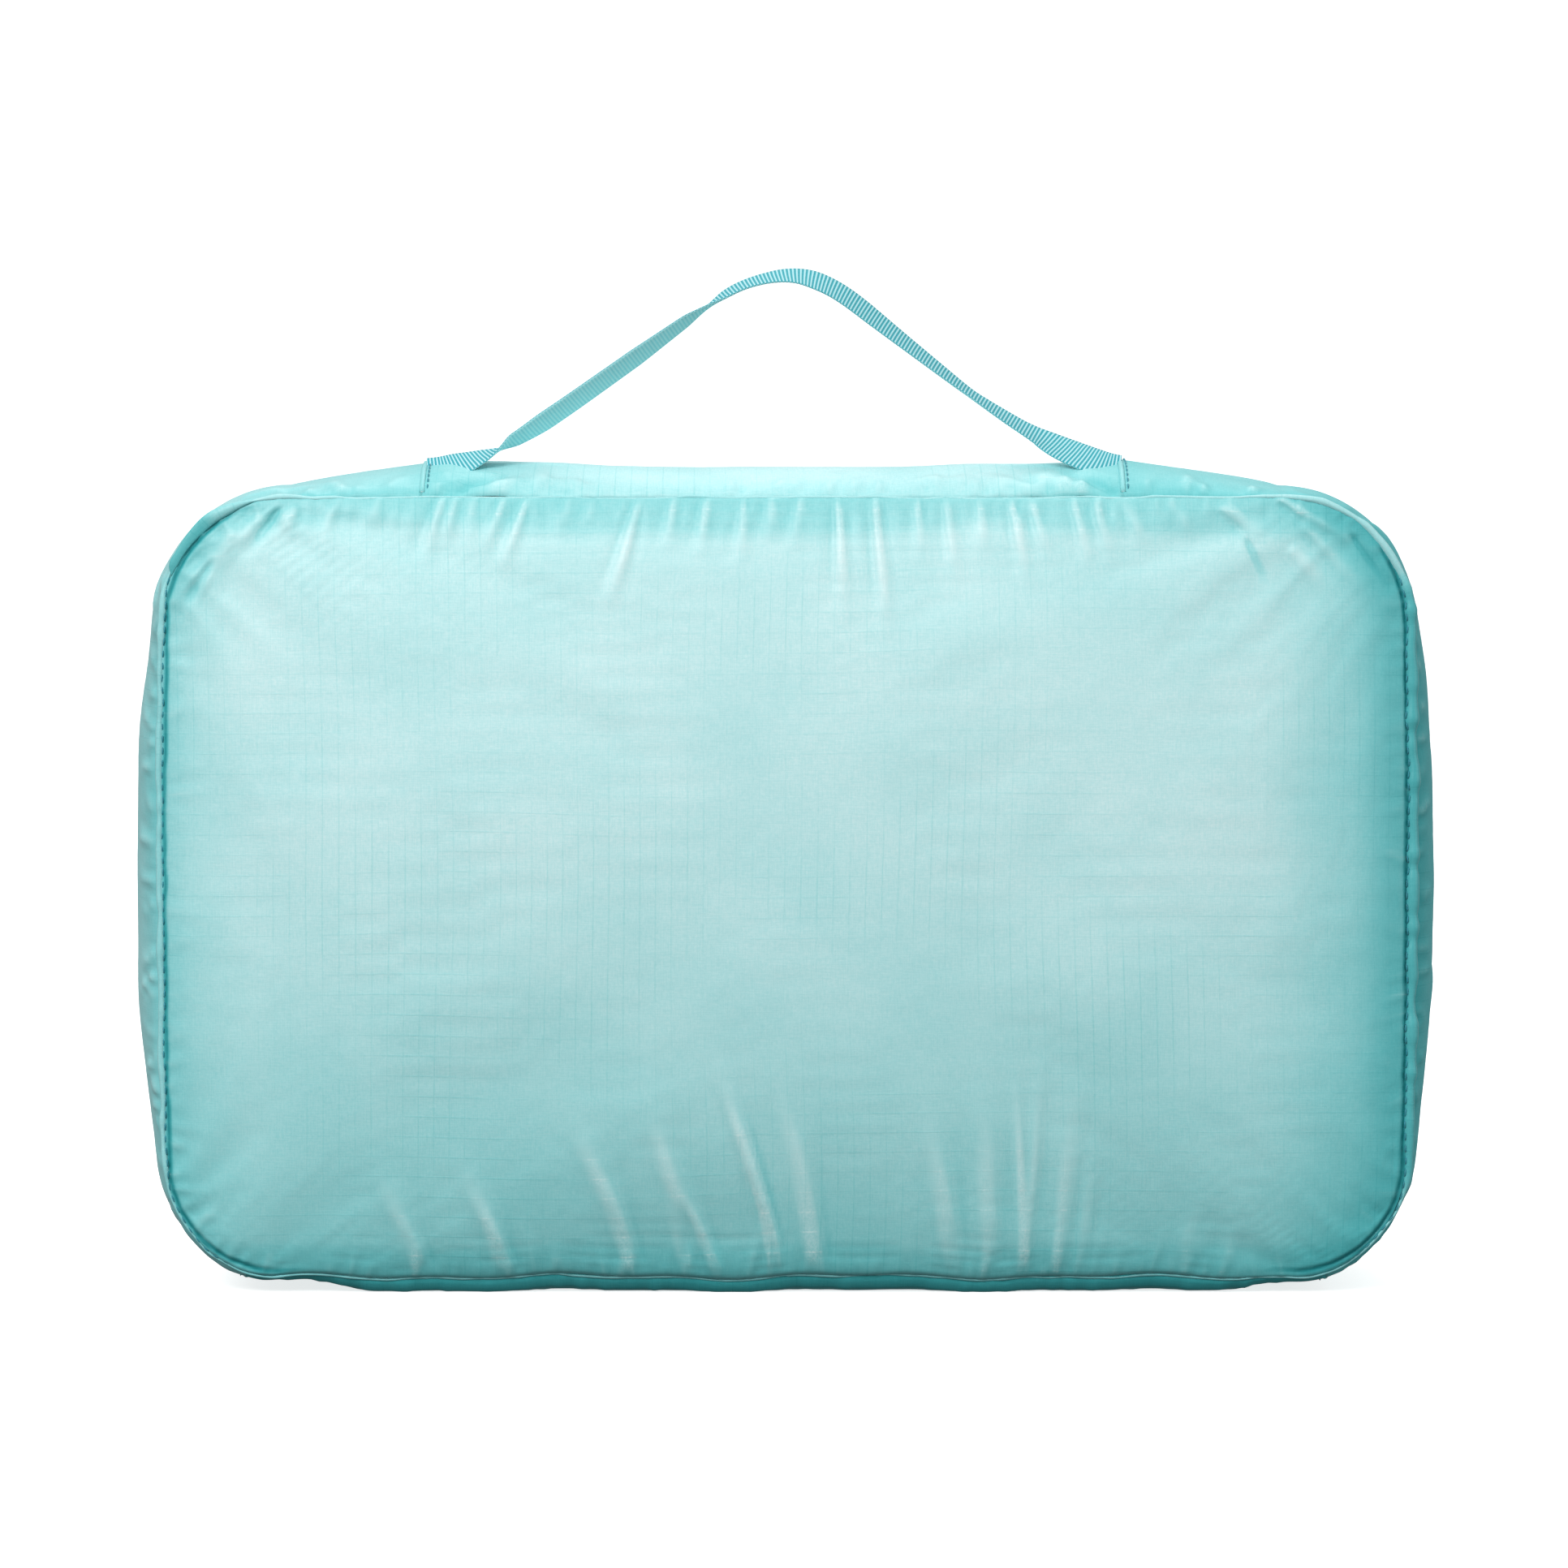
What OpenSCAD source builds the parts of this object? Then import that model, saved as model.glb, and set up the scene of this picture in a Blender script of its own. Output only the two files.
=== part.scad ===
// Soft packing cube: two ripstop faces on a sewn gusset, a zip round three sides and a webbing carry
// handle. It stands on its base gusset. X is the width, Y the depth with the lid on the +Y side, Z is up.

/* [Cube] */
// Width between the side seams at half height
seam_w = 267; // [250:1:300]
// Height of the bottom seam above the ground
seam_low = 4; // [3:0.5:6]
// Height of the top seam above the ground
seam_high = 170.5; // [150:0.5:200]
// Depth from the back seam to the lid seam
depth = 60; // [50:1:80]
// Share of the half width lost towards the top and bottom of the bowed sides
bow = 0.01; // [0:0.01:0.06]
// Corner radius at the top
top_r = 26; // [20:1:32]
// Corner radius at the bottom
bottom_r = 24; // [20:1:36]

/* [Fabric] */
// Thickness of a fabric panel
cloth_t = 0.6; // [0.5:0.1:1]
// Crown of the back panel and of the lid panel
crown = 11; // [6:0.5:14]
// Bulge of the side gussets at half height
side_bulge = 6.5; // [4:0.5:8]
// Bulge of the gusset in the rounded corners
corner_bulge = 2; // [1.5:0.5:4]
// Bulge of the top gusset halfway between the handle seams
top_bulge = 6; // [4:0.5:7]
// Bulge of the gusset at the handle seams
handle_bulge = 7.5; // [6:0.5:8]

/* [Zip] */
// Width of each zip tape between its seam and its coil
tape_w = 5.6; // [4:0.1:7]
// Width of one coil row
coil_w = 1.5; // [1.2:0.1:1.8]
// Clear gap between the coil rows, which holds the slider post
coil_gap = 1.8; // [1.6:0.1:2.2]
// Length of a slider
slider_l = 9; // [8:0.5:10]
// Distance of each closed slider from the middle of the top
slider_x = 8; // [6:0.5:12]
// Length of a pull tab from its pivot
pull_l = 20; // [15:1:24]

/* [Handle] */
// Handle seam on the left
handle_left = -77; // [-80:1:-70]
// Handle seam on the right
handle_right = 72; // [66:1:80]
// Width of the webbing
web_w = 10; // [8:0.5:12]
// Thickness of the webbing
web_t = 1; // [0.8:0.1:1.4]
// Height of the top of the handle above the ground
handle_top = 219; // [205:1:225]

/* [Hidden] */

aqua = [0.53, 0.80, 0.81];
aqua_deep = [0.36, 0.70, 0.72];
label_white = [0.93, 0.94, 0.93];
zip_metal = [0.62, 0.76, 0.77];

// Seam outline: a rounded rectangle in x and z whose sides bow outwards at half height.
half_w = seam_w / 2;
half_d = depth / 2;
mid_z = (seam_low + seam_high) / 2;
half_h = (seam_high - seam_low) / 2;
arc_steps = 10;
side_steps = 10;
flat_steps = 14;
// Steps along the top: outside each handle seam, and between the two.
outer_steps = 4;
middle_steps = 20;
function bowed(p) = [p[0] * (1 - bow * pow((p[1] - mid_z) / half_h, 2)), p[1]];
function arc(cx, cz, r, a0, a1, n) =
    [for (k = [0:n]) let (a = a0 + (a1 - a0) * k / n) [cx + r * cos(a), cz + r * sin(a)]];
function run(p, q, n) = [for (k = [1:n - 1]) p + (q - p) * k / n];
// Clockwise from the middle of the base, up the left side, over the top and down the right side, moved
// inwards by d. Every d gives the same number of points.
function outline(d) =
    let (w = half_w - d, zl = seam_low + d, zh = seam_high - d, rb = bottom_r - d, rt = top_r - d,
         hl = [handle_left / (1 - bow), zh], hr = [handle_right / (1 - bow), zh])
    [for (p = concat(
        [[0, zl]], run([0, zl], [-w + rb, zl], flat_steps),
        arc(-w + rb, zl + rb, rb, 270, 180, arc_steps),
        run([-w, zl + rb], [-w, zh - rt], side_steps),
        arc(-w + rt, zh - rt, rt, 180, 90, arc_steps),
        run([-w + rt, zh], hl, outer_steps), [hl], run(hl, hr, middle_steps), [hr],
        run(hr, [w - rt, zh], outer_steps),
        arc(w - rt, zh - rt, rt, 90, 0, arc_steps),
        run([w, zh - rt], [w, zl + rb], side_steps),
        arc(w - rb, zl + rb, rb, 0, -90, arc_steps),
        run([w - rb, zl], [0, zl], flat_steps))) bowed(p)];
seam = outline(0);
count = len(seam);
// Points where the pieces of the gusset begin and end.
base_left = flat_steps + 2;
base_right = count - base_left;
cross_left = flat_steps + 2 * arc_steps + side_steps + outer_steps;
cross_right = cross_left + middle_steps;

// Zip lines in y, from the body side to the lid side.
zip_y = 22;
body_coil_y = zip_y - coil_gap / 2 - coil_w;
lid_coil_y = zip_y + coil_gap / 2;
gusset_y = body_coil_y - tape_w;
lid_tape_y = lid_coil_y + coil_w;
tape_t = 0.6;
coil_t = 1.8;

// Point at the distance d from p towards q.
function toward(p, q, d) = p + (q - p) * d / norm(q - p);
// The outline's points from i0 to i1, with both ends moved inwards along it by gap.
function stretch(points, i0, i1, gap) = concat(
    [toward(points[i0], points[i0 + 1], gap)],
    [for (i = [i0 + 1:i1 - 1]) points[i % count]],
    [toward(points[i1 % count], points[(i1 - 1) % count], gap)]);
// A strip that follows the seam outline from point i0 to i1, between the insets d0 and d1 and from y0 to y1.
module band(i0, i1, d0, d1, y0, y1, gap = 0) {
    outer = stretch(outline(d0), i0, i1, gap);
    inner = stretch(outline(d1), i0, i1, gap);
    last = len(inner) - 1;
    translate([0, y1, 0]) rotate([90, 0, 0])
        linear_extrude(y1 - y0) polygon(concat(outer, [for (i = [last:-1:0]) inner[i]]));
}

// A closed ring that follows the whole seam outline.
module ring(d0, d1, y0, y1) {
    translate([0, y1, 0]) rotate([90, 0, 0]) linear_extrude(y1 - y0) difference() {
        polygon(outline(d0));
        polygon(outline(d1));
    }
}

// How far the gusset bulges at outline point i: a little in the corners, more along each straight.
function ease(t) = let (c = min(1, max(0, t))) c * c * (3 - 2 * c);
on_line = 0.01;
straight_reach = half_w * (1 - bow);
function top_swell(x) = x < handle_right
    ? top_bulge + (handle_bulge - top_bulge) * pow(x / handle_right, 2)
    : corner_bulge + (handle_bulge - corner_bulge)
        * pow(max(0, straight_reach - top_r - x) / (straight_reach - top_r - handle_right), 0.8);
// The base bulges past the ground by this much before it is pressed flat.
pressed = 1.2;
base_blend = 25;
function base_swell(x) = corner_bulge
    + (seam_low + pressed - corner_bulge) * ease((half_w - bottom_r - x) / base_blend);
function side_swell(z) = corner_bulge
    + (side_bulge - corner_bulge) * ease(1.25 - abs(z - mid_z) / (half_h * 0.8));
function bulge(i) =
    let (p = seam[i % count], x = abs(p[0]), z = p[1])
    z > seam_high - on_line ? top_swell(x) : z < seam_low + on_line ? base_swell(x) : side_swell(z);
// Share of the bulge at depth y for a strip from y0 to y1: full in the middle, with sloping shoulders.
shoulder = 0.75;
function swell(y, y0, y1) = let (u = (2 * y - y0 - y1) / (y1 - y0)) pow(max(0, 1 - u * u), shoulder);
// The base bulges over its whole depth, and its two ends fade to the shape of the side gussets.
function wide(i) = ease((straight_reach - bottom_r + 4 - abs(seam[i % count][0])) / (base_blend - 1));
function side_share(y) = y < gusset_y ? swell(y, -half_d, gusset_y) : 0;
function across(i, y, full) =
    full ? side_share(y) * (1 - wide(i)) + swell(y, -half_d, half_d) * wide(i) : side_share(y);

// Outward direction of the outline at point i.
function normal_at(i) =
    let (a = seam[(i + count - 1) % count], b = seam[(i + 1) % count], t = (b - a) / norm(b - a))
    [-t[1], t[0]];
function skin_point(i, y, d, full) =
    let (p = seam[i % count], q = p + normal_at(i) * (bulge(i) * across(i, y, full) - d))
    [q[0], y, max(q[1], d)];

// A closed shell over a grid of outer and inner points, where outer[k][j] is point j of row k.
function quad(a, b, c, d) = [[a, b, c], [a, c, d]];
module slab(outer, inner) {
    m = len(outer);
    n = len(outer[0]);
    o = m * n;
    end = n - 1;
    base = (m - 1) * n;
    over = [for (k = [0:m - 2], j = [0:n - 2]) let (a = k * n + j) each quad(a, a + n, a + n + 1, a + 1)];
    under = [for (f = over) [f[2] + o, f[1] + o, f[0] + o]];
    near = [for (k = [0:m - 2]) let (a = k * n) each quad(a, a + o, a + n + o, a + n)];
    far = [for (k = [0:m - 2]) let (a = k * n + end) each quad(a, a + n, a + n + o, a + o)];
    first = [for (j = [0:n - 2]) each quad(j, j + 1, j + 1 + o, j + o)];
    last = [for (j = [0:n - 2]) let (a = base + j) each quad(a, a + o, a + 1 + o, a + 1)];
    points = concat([for (r = outer) each r], [for (r = inner) each r]);
    polyhedron(points, concat(over, under, near, far, first, last), convexity = 6);
}

// Depth stations across a strip, closer together near its edges, where the bulge turns fastest.
across_steps = 8;
function stations(y0, y1) =
    [for (k = [0:across_steps]) (y0 + y1) / 2 - (y1 - y0) / 2 * cos(180 * k / across_steps)];

module gusset(i0, i1, y1, d0, d1, full = false) {
    ys = stations(-half_d, y1);
    slab([for (i = [i0:i1]) [for (y = ys) skin_point(i, y, d0, full)]],
         [for (i = [i0:i1]) [for (y = ys) skin_point(i, y, d1, full)]]);
}

// Crowned panel over the seam outline: rings of points that shrink towards its middle. side is -1 for
// the back and 1 for the lid.
panel_rings = 9;
edge_crowd = 1.6;
function crown_at(u) = crown * pow(1 - pow(u, 3.2), 0.8);
module panel(side) {
    n = count;
    last = (panel_rings - 1) * n;
    o = last + n;
    shift = [0, side * cloth_t, 0];
    inner = [for (k = [0:panel_rings - 1]) let (u = 1 - pow(k / panel_rings, edge_crowd)) each
        [for (p = seam) [p[0] * u, side * (half_d + crown_at(u)), mid_z + (p[1] - mid_z) * u]]];
    centre = [0, side * (half_d + crown), mid_z];
    points = concat([for (p = inner) p + shift], inner, [centre + shift, centre]);
    turns = [for (j = [0:n - 1]) [j, (j + 1) % n]];
    bands = [for (k = [0:panel_rings - 2], t = turns) let (a = k * n)
        each quad(a + t[0], a + t[1], a + n + t[1], a + n + t[0])];
    cap = [for (t = turns) [last + t[0], last + t[1], 2 * o]];
    cap_under = [for (t = turns) [o + last + t[0], 2 * o + 1, o + last + t[1]]];
    under = [for (f = bands) [f[2] + o, f[1] + o, f[0] + o]];
    rim = [for (t = turns) each quad(t[0], t[0] + o, t[1] + o, t[1])];
    // The outline runs clockwise seen from the back, so the back's faces are turned over.
    faces = concat(bands, cap, under, cap_under, rim);
    polyhedron(points, side < 0 ? [for (f = faces) [f[2], f[1], f[0]]] : faces, convexity = 4);
}

module back_panel() color(aqua) panel(-1);
module lid_panel() color(aqua) panel(1);

// Gusset: two sides that reach from the base round to the handle seams, the top between them, and the base.
module side_gusset_left() color(aqua) gusset(base_left, cross_left, gusset_y, 0, cloth_t);
module side_gusset_right() color(aqua) gusset(cross_right, base_right, gusset_y, 0, cloth_t);
module top_gusset() color(aqua) gusset(cross_left, cross_right, gusset_y, 0, cloth_t);
module base_gusset() color(aqua) gusset(base_right, count + base_left, half_d, 0, cloth_t, true);

// Seam allowances bound with folded tape, on the inside.
binding_w = 7;
binding_t = 0.9;
module back_seam_binding() color(aqua_deep)
    ring(cloth_t + 0.4, cloth_t + binding_w, -half_d, -half_d + binding_t);
module lid_seam_binding() color(aqua_deep)
    ring(cloth_t + 0.6, cloth_t + binding_w, half_d - binding_t, half_d);
module base_seam_binding() color(aqua_deep)
    band(base_right + 2, count + base_left - 2, cloth_t + 0.1, cloth_t + 0.7, half_d - 10, half_d - 2);
seam_allowance = 2.5;
seam_gap = 1;
seam_tape = 0.8;
function tangent_at(i) = let (n = normal_at(i)) [n[1], 0, -n[0]];
module cross_seam_binding(i) color(aqua_deep) {
    ys = stations(-half_d + 2, gusset_y - 1);
    along = tangent_at(i) * seam_allowance;
    d = cloth_t + seam_gap;
    slab([for (s = [-1, 1]) [for (y = ys) skin_point(i, y, d, false) + along * s]],
         [for (s = [-1, 1]) [for (y = ys) skin_point(i, y, d + seam_tape, false) + along * s]]);
}
module cross_seam_binding_left() cross_seam_binding(cross_left);
module cross_seam_binding_right() cross_seam_binding(cross_right);
module corner_seam_binding_left() cross_seam_binding(base_left);
module corner_seam_binding_right() cross_seam_binding(base_right);

// Zip: a tape and a coil row on each side of the opening line, from one base seam round the top to the other.
module body_zip_tape() color(aqua_deep) band(base_left, base_right, 0, tape_t, gusset_y, body_coil_y);
// The lid's tape and coil stop just short of the base gusset.
end_gap = 0.3;
module lid_zip_tape() color(aqua_deep)
    band(base_left, base_right, 0, tape_t, lid_tape_y, half_d, end_gap);
coil_in = (tape_t + coil_t) / 2;
module coil_row(i0, i1, y0, gap) color(aqua_deep)
    band(i0, i1, coil_in - coil_t, coil_in, y0, y0 + coil_w, gap);
module body_zip_coil() coil_row(base_left + 1, base_right - 1, body_coil_y, 0);
module lid_zip_coil() coil_row(base_left, base_right, lid_coil_y, end_gap);
stop_over = 0.3;
module zip_end_stop(i0) color(zip_metal)
    band(i0, i0 + 1, coil_in - coil_t - stop_over, coil_in + stop_over,
         body_coil_y, body_coil_y + coil_w + stop_over);
module zip_end_stop_left() zip_end_stop(base_left);
module zip_end_stop_right() zip_end_stop(base_right - 1);

// Blank sewn-in label on the left side seam.
module care_label() color(label_white)
    translate([-half_w + 3, -half_d + binding_t, mid_z - 22]) cube([34, 0.4, 16]);

// Handle: a webbing strap in one arch, a raised cosine that runs level into both seams. Its width tilts.
handle_y = -14;
axis_z = 184;
handle_base = seam_high + handle_bulge + 0.5;
crest_x = 1;
reach_l = 74;
reach_r = 70;
function arch_z(x) =
    let (t = min(1, abs(x - crest_x) / (x < crest_x ? reach_l : reach_r)))
    handle_base + (handle_top - handle_base) * (1 + cos(180 * t)) / 2;
// Tilt of the strap's width, positive when its back edge is the higher one.
tilt_table = [[-76, 10], [-64, 10], [-54, -14], [-40, -20], [-24, -14], [-6, 0], [12, 12], [30, 10],
              [46, 4], [58, 10], [72, 10]];
function tilt(x) = lookup(x, tilt_table);
function web_ring(x) =
    let (a = tilt(x), w = web_w / 2, slope = atan2(arch_z(x + 0.5) - arch_z(x - 0.5), 1),
         t = web_t / 2 / cos(slope), c = [x, handle_y, arch_z(x)])
    [for (q = [[-w, -t], [w, -t], [w, t], [-w, t]])
        c + [0, q[0] * cos(a) - q[1] * sin(a), q[0] * sin(a) + q[1] * cos(a)]];
module webbing(x0, x1, steps) {
    rings = [for (k = [0:steps]) web_ring(x0 + (x1 - x0) * k / steps)];
    sides = [for (k = [0:steps - 1], j = [0:3]) let (a = k * 4 + j, b = k * 4 + (j + 1) % 4) each
        [[a, a + 4, b + 4], [a, b + 4, b]]];
    polyhedron([for (r = rings) each r],
               concat(sides, [[0, 1, 2], [0, 2, 3]],
                      let (e = steps * 4) [[e + 2, e + 1, e], [e + 3, e + 2, e]]), convexity = 4);
}
// The strap turns about a line through both arms at axis_z, so it is cut there.
function arm(x, dir) = arch_z(x) >= axis_z ? x : arm(x + dir * 0.25, dir);
loop_left = arm(handle_left, 1);
loop_right = arm(handle_right, -1);
cut = 0.2;
module handle_loop() color(aqua_deep) webbing(loop_left + cut, loop_right - cut, 44);
module handle_end_left() color(aqua_deep) webbing(handle_left, loop_left - cut, 10);
module handle_end_right() color(aqua_deep) webbing(loop_right + cut, handle_right, 10);

// Slider with two plates joined by a post, and a crown that holds the pull.
slider_w = 7.2;
plate_t = 1;
coil_top = seam_high - coil_in + coil_t;
coil_low = seam_high - coil_in;
plate_gap = 0.3;
upper_z = coil_top + plate_gap;
lower_z = coil_low - plate_gap - plate_t;
crown_l = 6;
crown_w = 1.6;
crown_bar = 0.8;
pin_r = 0.6;
pin_z = upper_z + plate_t + pin_r + 0.2;
crown_top = pin_z + pin_r + 0.3 + crown_bar;
module plate(z) translate([0, 0, z]) linear_extrude(plate_t) hull() {
    for (s = [-1, 1]) translate([slider_l / 2 - 2, s * (slider_w / 2 - 2)]) circle(r = 2, $fn = 32);
    for (s = [-1, 1]) translate([-slider_l / 2 + 1, s * (slider_w / 2 - 1.6)]) circle(r = 1, $fn = 32);
}
// dir is the way the slider's nose points, towards the middle of the top.
module slider(x, dir) color(zip_metal) translate([x, zip_y, 0]) mirror([dir < 0 ? 1 : 0, 0, 0]) union() {
    plate(upper_z);
    plate(lower_z);
    translate([slider_l / 2 - 3.2, -coil_gap / 2 + 0.3, lower_z])
        cube([2.4, coil_gap - 0.6, upper_z - lower_z + plate_t / 2]);
    translate([-slider_l / 2 + 1.5, -slider_w / 2, upper_z - 0.7]) cube([slider_l - 3, 0.8, 0.9]);
    difference() {
        translate([-crown_l / 2, -crown_w / 2, upper_z + plate_t / 2])
            cube([crown_l, crown_w, crown_top - upper_z - plate_t / 2]);
        translate([-crown_l / 2 + crown_bar, -crown_w, upper_z + plate_t])
            cube([crown_l - 2 * crown_bar, 2 * crown_w, crown_top - crown_bar - upper_z - plate_t]);
    }
}
module slider_left() slider(-slider_x, 1);
module slider_right() slider(slider_x, -1);

// Pull tab: a pin under the crown, two rails beside it and a rounded tab, lying flat away from the middle.
pull_w = 5;
rail_w = 1;
window = 3.9;
module pull(x, dir) color(zip_metal) translate([x, zip_y, pin_z]) mirror([dir > 0 ? 1 : 0, 0, 0]) {
    rotate([90, 0, 0]) translate([0, 0, -pull_w / 2]) cylinder(r = pin_r, h = pull_w, $fn = 32);
    for (s = [-1, 1]) translate([0, s * (pull_w - rail_w) / 2 - rail_w / 2, -pin_r + 0.1])
        cube([window + 0.5, rail_w, 2 * pin_r - 0.2]);
    translate([0, 0, -pin_r + 0.1]) linear_extrude(2 * pin_r - 0.2) difference() {
        union() {
            translate([window, -pull_w / 2]) square([pull_l - window - pull_w / 2, pull_w]);
            translate([pull_l - pull_w / 2, 0]) circle(d = pull_w, $fn = 48);
        }
        translate([pull_l - pull_w / 2, 0]) circle(d = 2.2, $fn = 32);
    }
}
module pull_left() pull(-slider_x, 1);
module pull_right() pull(slider_x, -1);

back_panel();
side_gusset_left();
side_gusset_right();
top_gusset();
base_gusset();
back_seam_binding();
base_seam_binding();
cross_seam_binding_left();
cross_seam_binding_right();
corner_seam_binding_left();
corner_seam_binding_right();
body_zip_tape();
body_zip_coil();
zip_end_stop_left();
zip_end_stop_right();
care_label();
handle_end_left();
handle_end_right();
lid_panel();
lid_zip_tape();
lid_zip_coil();
lid_seam_binding();
handle_loop();
slider_left();
slider_right();
pull_left();
pull_right();
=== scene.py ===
"""Looks of a ripstop packing cube: sewn cloth panels, gussets, zip, webbing handle and a studio."""
import math

import bmesh
import bpy
import numpy as np
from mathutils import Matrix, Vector


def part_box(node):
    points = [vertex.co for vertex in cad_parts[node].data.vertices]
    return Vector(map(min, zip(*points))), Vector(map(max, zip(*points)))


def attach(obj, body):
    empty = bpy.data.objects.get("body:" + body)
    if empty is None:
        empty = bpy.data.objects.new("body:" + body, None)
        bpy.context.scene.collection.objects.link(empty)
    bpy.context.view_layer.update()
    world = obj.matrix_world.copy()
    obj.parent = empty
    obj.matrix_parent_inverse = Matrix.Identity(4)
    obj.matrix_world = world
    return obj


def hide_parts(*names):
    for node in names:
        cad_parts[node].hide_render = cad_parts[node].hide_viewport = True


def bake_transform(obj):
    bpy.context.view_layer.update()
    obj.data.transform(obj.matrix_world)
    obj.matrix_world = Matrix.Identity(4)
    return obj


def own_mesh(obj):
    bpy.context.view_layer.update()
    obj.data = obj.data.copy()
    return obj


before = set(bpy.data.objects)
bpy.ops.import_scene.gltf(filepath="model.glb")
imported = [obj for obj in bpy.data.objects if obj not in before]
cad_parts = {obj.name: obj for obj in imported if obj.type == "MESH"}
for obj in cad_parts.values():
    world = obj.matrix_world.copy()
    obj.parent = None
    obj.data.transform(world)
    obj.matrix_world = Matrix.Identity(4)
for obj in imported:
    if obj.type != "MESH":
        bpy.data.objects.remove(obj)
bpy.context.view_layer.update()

# ---------------------------------------------------------------- sizes, in metres, from the CAD
MM = 0.001
BACK_LOW, BACK_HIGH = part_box("back_panel")
BASE_LOW, BASE_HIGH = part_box("base_gusset")
SIDE_LOW, SIDE_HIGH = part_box("side_gusset_left")
TOP_LOW, TOP_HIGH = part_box("top_gusset")
HANDLE_LOW, HANDLE_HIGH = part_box("handle_loop")
SEAM_LOW, SEAM_HIGH = BACK_LOW[2], BACK_HIGH[2]
HALF_W = BACK_HIGH[0]
HALF_D = BASE_HIGH[1]
HALF_H = (SEAM_HIGH - SEAM_LOW) / 2
MID_Z = (SEAM_HIGH + SEAM_LOW) / 2
HANDLE_LEFT, HANDLE_RIGHT = TOP_LOW[0], TOP_HIGH[0]
# Where the gusset ends and the zip begins.
GUSSET_Y = SIDE_HIGH[1]
# The cloth's thickness, here and in the CAD model.
CLOTH_T, CAD_CLOTH_T = 0.35 * MM, 0.6 * MM
# How far the middle of a panel stands out from its seam.
CROWN = -BACK_LOW[1] - HALF_D - CAD_CLOTH_T
# The seam outline: its share of bow in the sides, and its corner radii.
BOW = 0.01
TOP_R, BOTTOM_R = 26 * MM, 24 * MM
# How far the gusset bulges out from the seam, and how round its shoulders are.
SIDE_BULGE = -SIDE_LOW[0] - HALF_W
CORNER_BULGE, TOP_BULGE, HANDLE_BULGE = 2 * MM, 6 * MM, 7.5 * MM
SHOULDER = 0.75
# The sides of the cube, as the sign of y.
BACK, LID = -1, 1


def ease(t):
    """0 up to t = 0, 1 from t = 1, and a smooth step between them."""
    c = np.clip(t, 0, 1)
    return c * c * (3 - 2 * c)


def ramp_up(value, start, width):
    """0 up to a value of start and 1 from start + width, both in mm, with a smooth step between them."""
    return ease((value / MM - start) / width)


def ramp_down(value, start, width):
    """1 up to a value of start and 0 from start + width, both in mm, with a smooth step between them."""
    return 1 - ramp_up(value, start, width)


def unit(v):
    """Vectors along the last axis, at length 1."""
    return v / np.linalg.norm(v, axis=-1, keepdims=True)


def arc_lengths(path):
    """Distance along a path at each of its points."""
    return np.concatenate([[0], np.cumsum(np.linalg.norm(np.diff(path, axis=0), axis=1))])


def read_along(at, s, values):
    """Rows of values, given at distances s, read at distances at."""
    return np.stack([np.interp(at, s, values[:, k]) for k in range(values.shape[1])], -1)


def in_space(flat, y):
    """Flat points (x, z) placed in space at depth y."""
    return np.stack([flat[..., 0], np.broadcast_to(y, flat.shape[:-1]), flat[..., 1]], -1)


# ---------------------------------------------------------------- the seam outline
def bow_at(z):
    """Share of the full width at height z: the outline bows outwards a little at half height."""
    return 1 - BOW * ((z - MID_Z) / HALF_H) ** 2


def seam_loop(steps=96):
    """Dense points (x, z) of the seam, clockwise from the middle of the base as seen from the back."""
    w, zl, zh = HALF_W, SEAM_LOW, SEAM_HIGH

    def arc(cx, cz, r, a0, a1):
        a = np.radians(np.linspace(a0, a1, steps))
        return np.stack([cx + r * np.cos(a), cz + r * np.sin(a)], 1)

    def run(p, q):
        return np.linspace(p, q, 2 * steps)[1:-1]

    rb, rt = BOTTOM_R, TOP_R
    parts = [
        run((0, zl), (-w + rb, zl)), arc(-w + rb, zl + rb, rb, 270, 180),
        run((-w, zl + rb), (-w, zh - rt)), arc(-w + rt, zh - rt, rt, 180, 90),
        run((-w + rt, zh), (w - rt, zh)), arc(w - rt, zh - rt, rt, 90, 0),
        run((w, zh - rt), (w, zl + rb)), arc(w - rb, zl + rb, rb, 0, -90),
        run((w - rb, zl), (0, zl)),
    ]
    p = np.concatenate([[[0, zl]]] + parts + [[[0, zl]]])
    p[:, 0] *= bow_at(p[:, 1])
    sag = 0.45 * np.sin(p[:, 0] / (9.5 * MM)) + 0.3 * np.sin(p[:, 0] / (4.1 * MM) + 1) - 0.35
    p[:, 1] += sag * MM * ramp_down(p[:, 1] - zl, 1, 8)
    return p


LOOP = seam_loop()
LOOP_S = arc_lengths(LOOP)
LENGTH = LOOP_S[-1]


def on_loop(s):
    """Point (x, z) and outward normal of the seam at arc length s."""
    s = np.asarray(s, float)
    step = 0.8 * MM
    before, p, after = (read_along(np.mod(s + d, LENGTH), LOOP_S, LOOP) for d in (-step, 0, step))
    t = unit(after - before)
    return p, np.stack([-t[..., 1], t[..., 0]], -1)


def loop_at(x, upper):
    """Arc length where the upper or lower half of the seam reaches x."""
    rows = (LOOP[:, 1] > MID_Z) == upper
    index = np.flatnonzero(rows)[np.argmin(np.abs(LOOP[rows, 0] - x))]
    return LOOP_S[index]


def nearest(x, z):
    """Arc length of the seam's point nearest to (x, z)."""
    return LOOP_S[np.argmin(np.hypot(LOOP[:, 0] - x, LOOP[:, 1] - z))]


S_BASE_LEFT = loop_at(BASE_LOW[0] + 1 * MM, False)
S_BASE_RIGHT = loop_at(BASE_HIGH[0] - 1 * MM, False)
S_HANDLE_LEFT = loop_at(HANDLE_LEFT, True)
S_HANDLE_RIGHT = loop_at(HANDLE_RIGHT, True)


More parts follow.
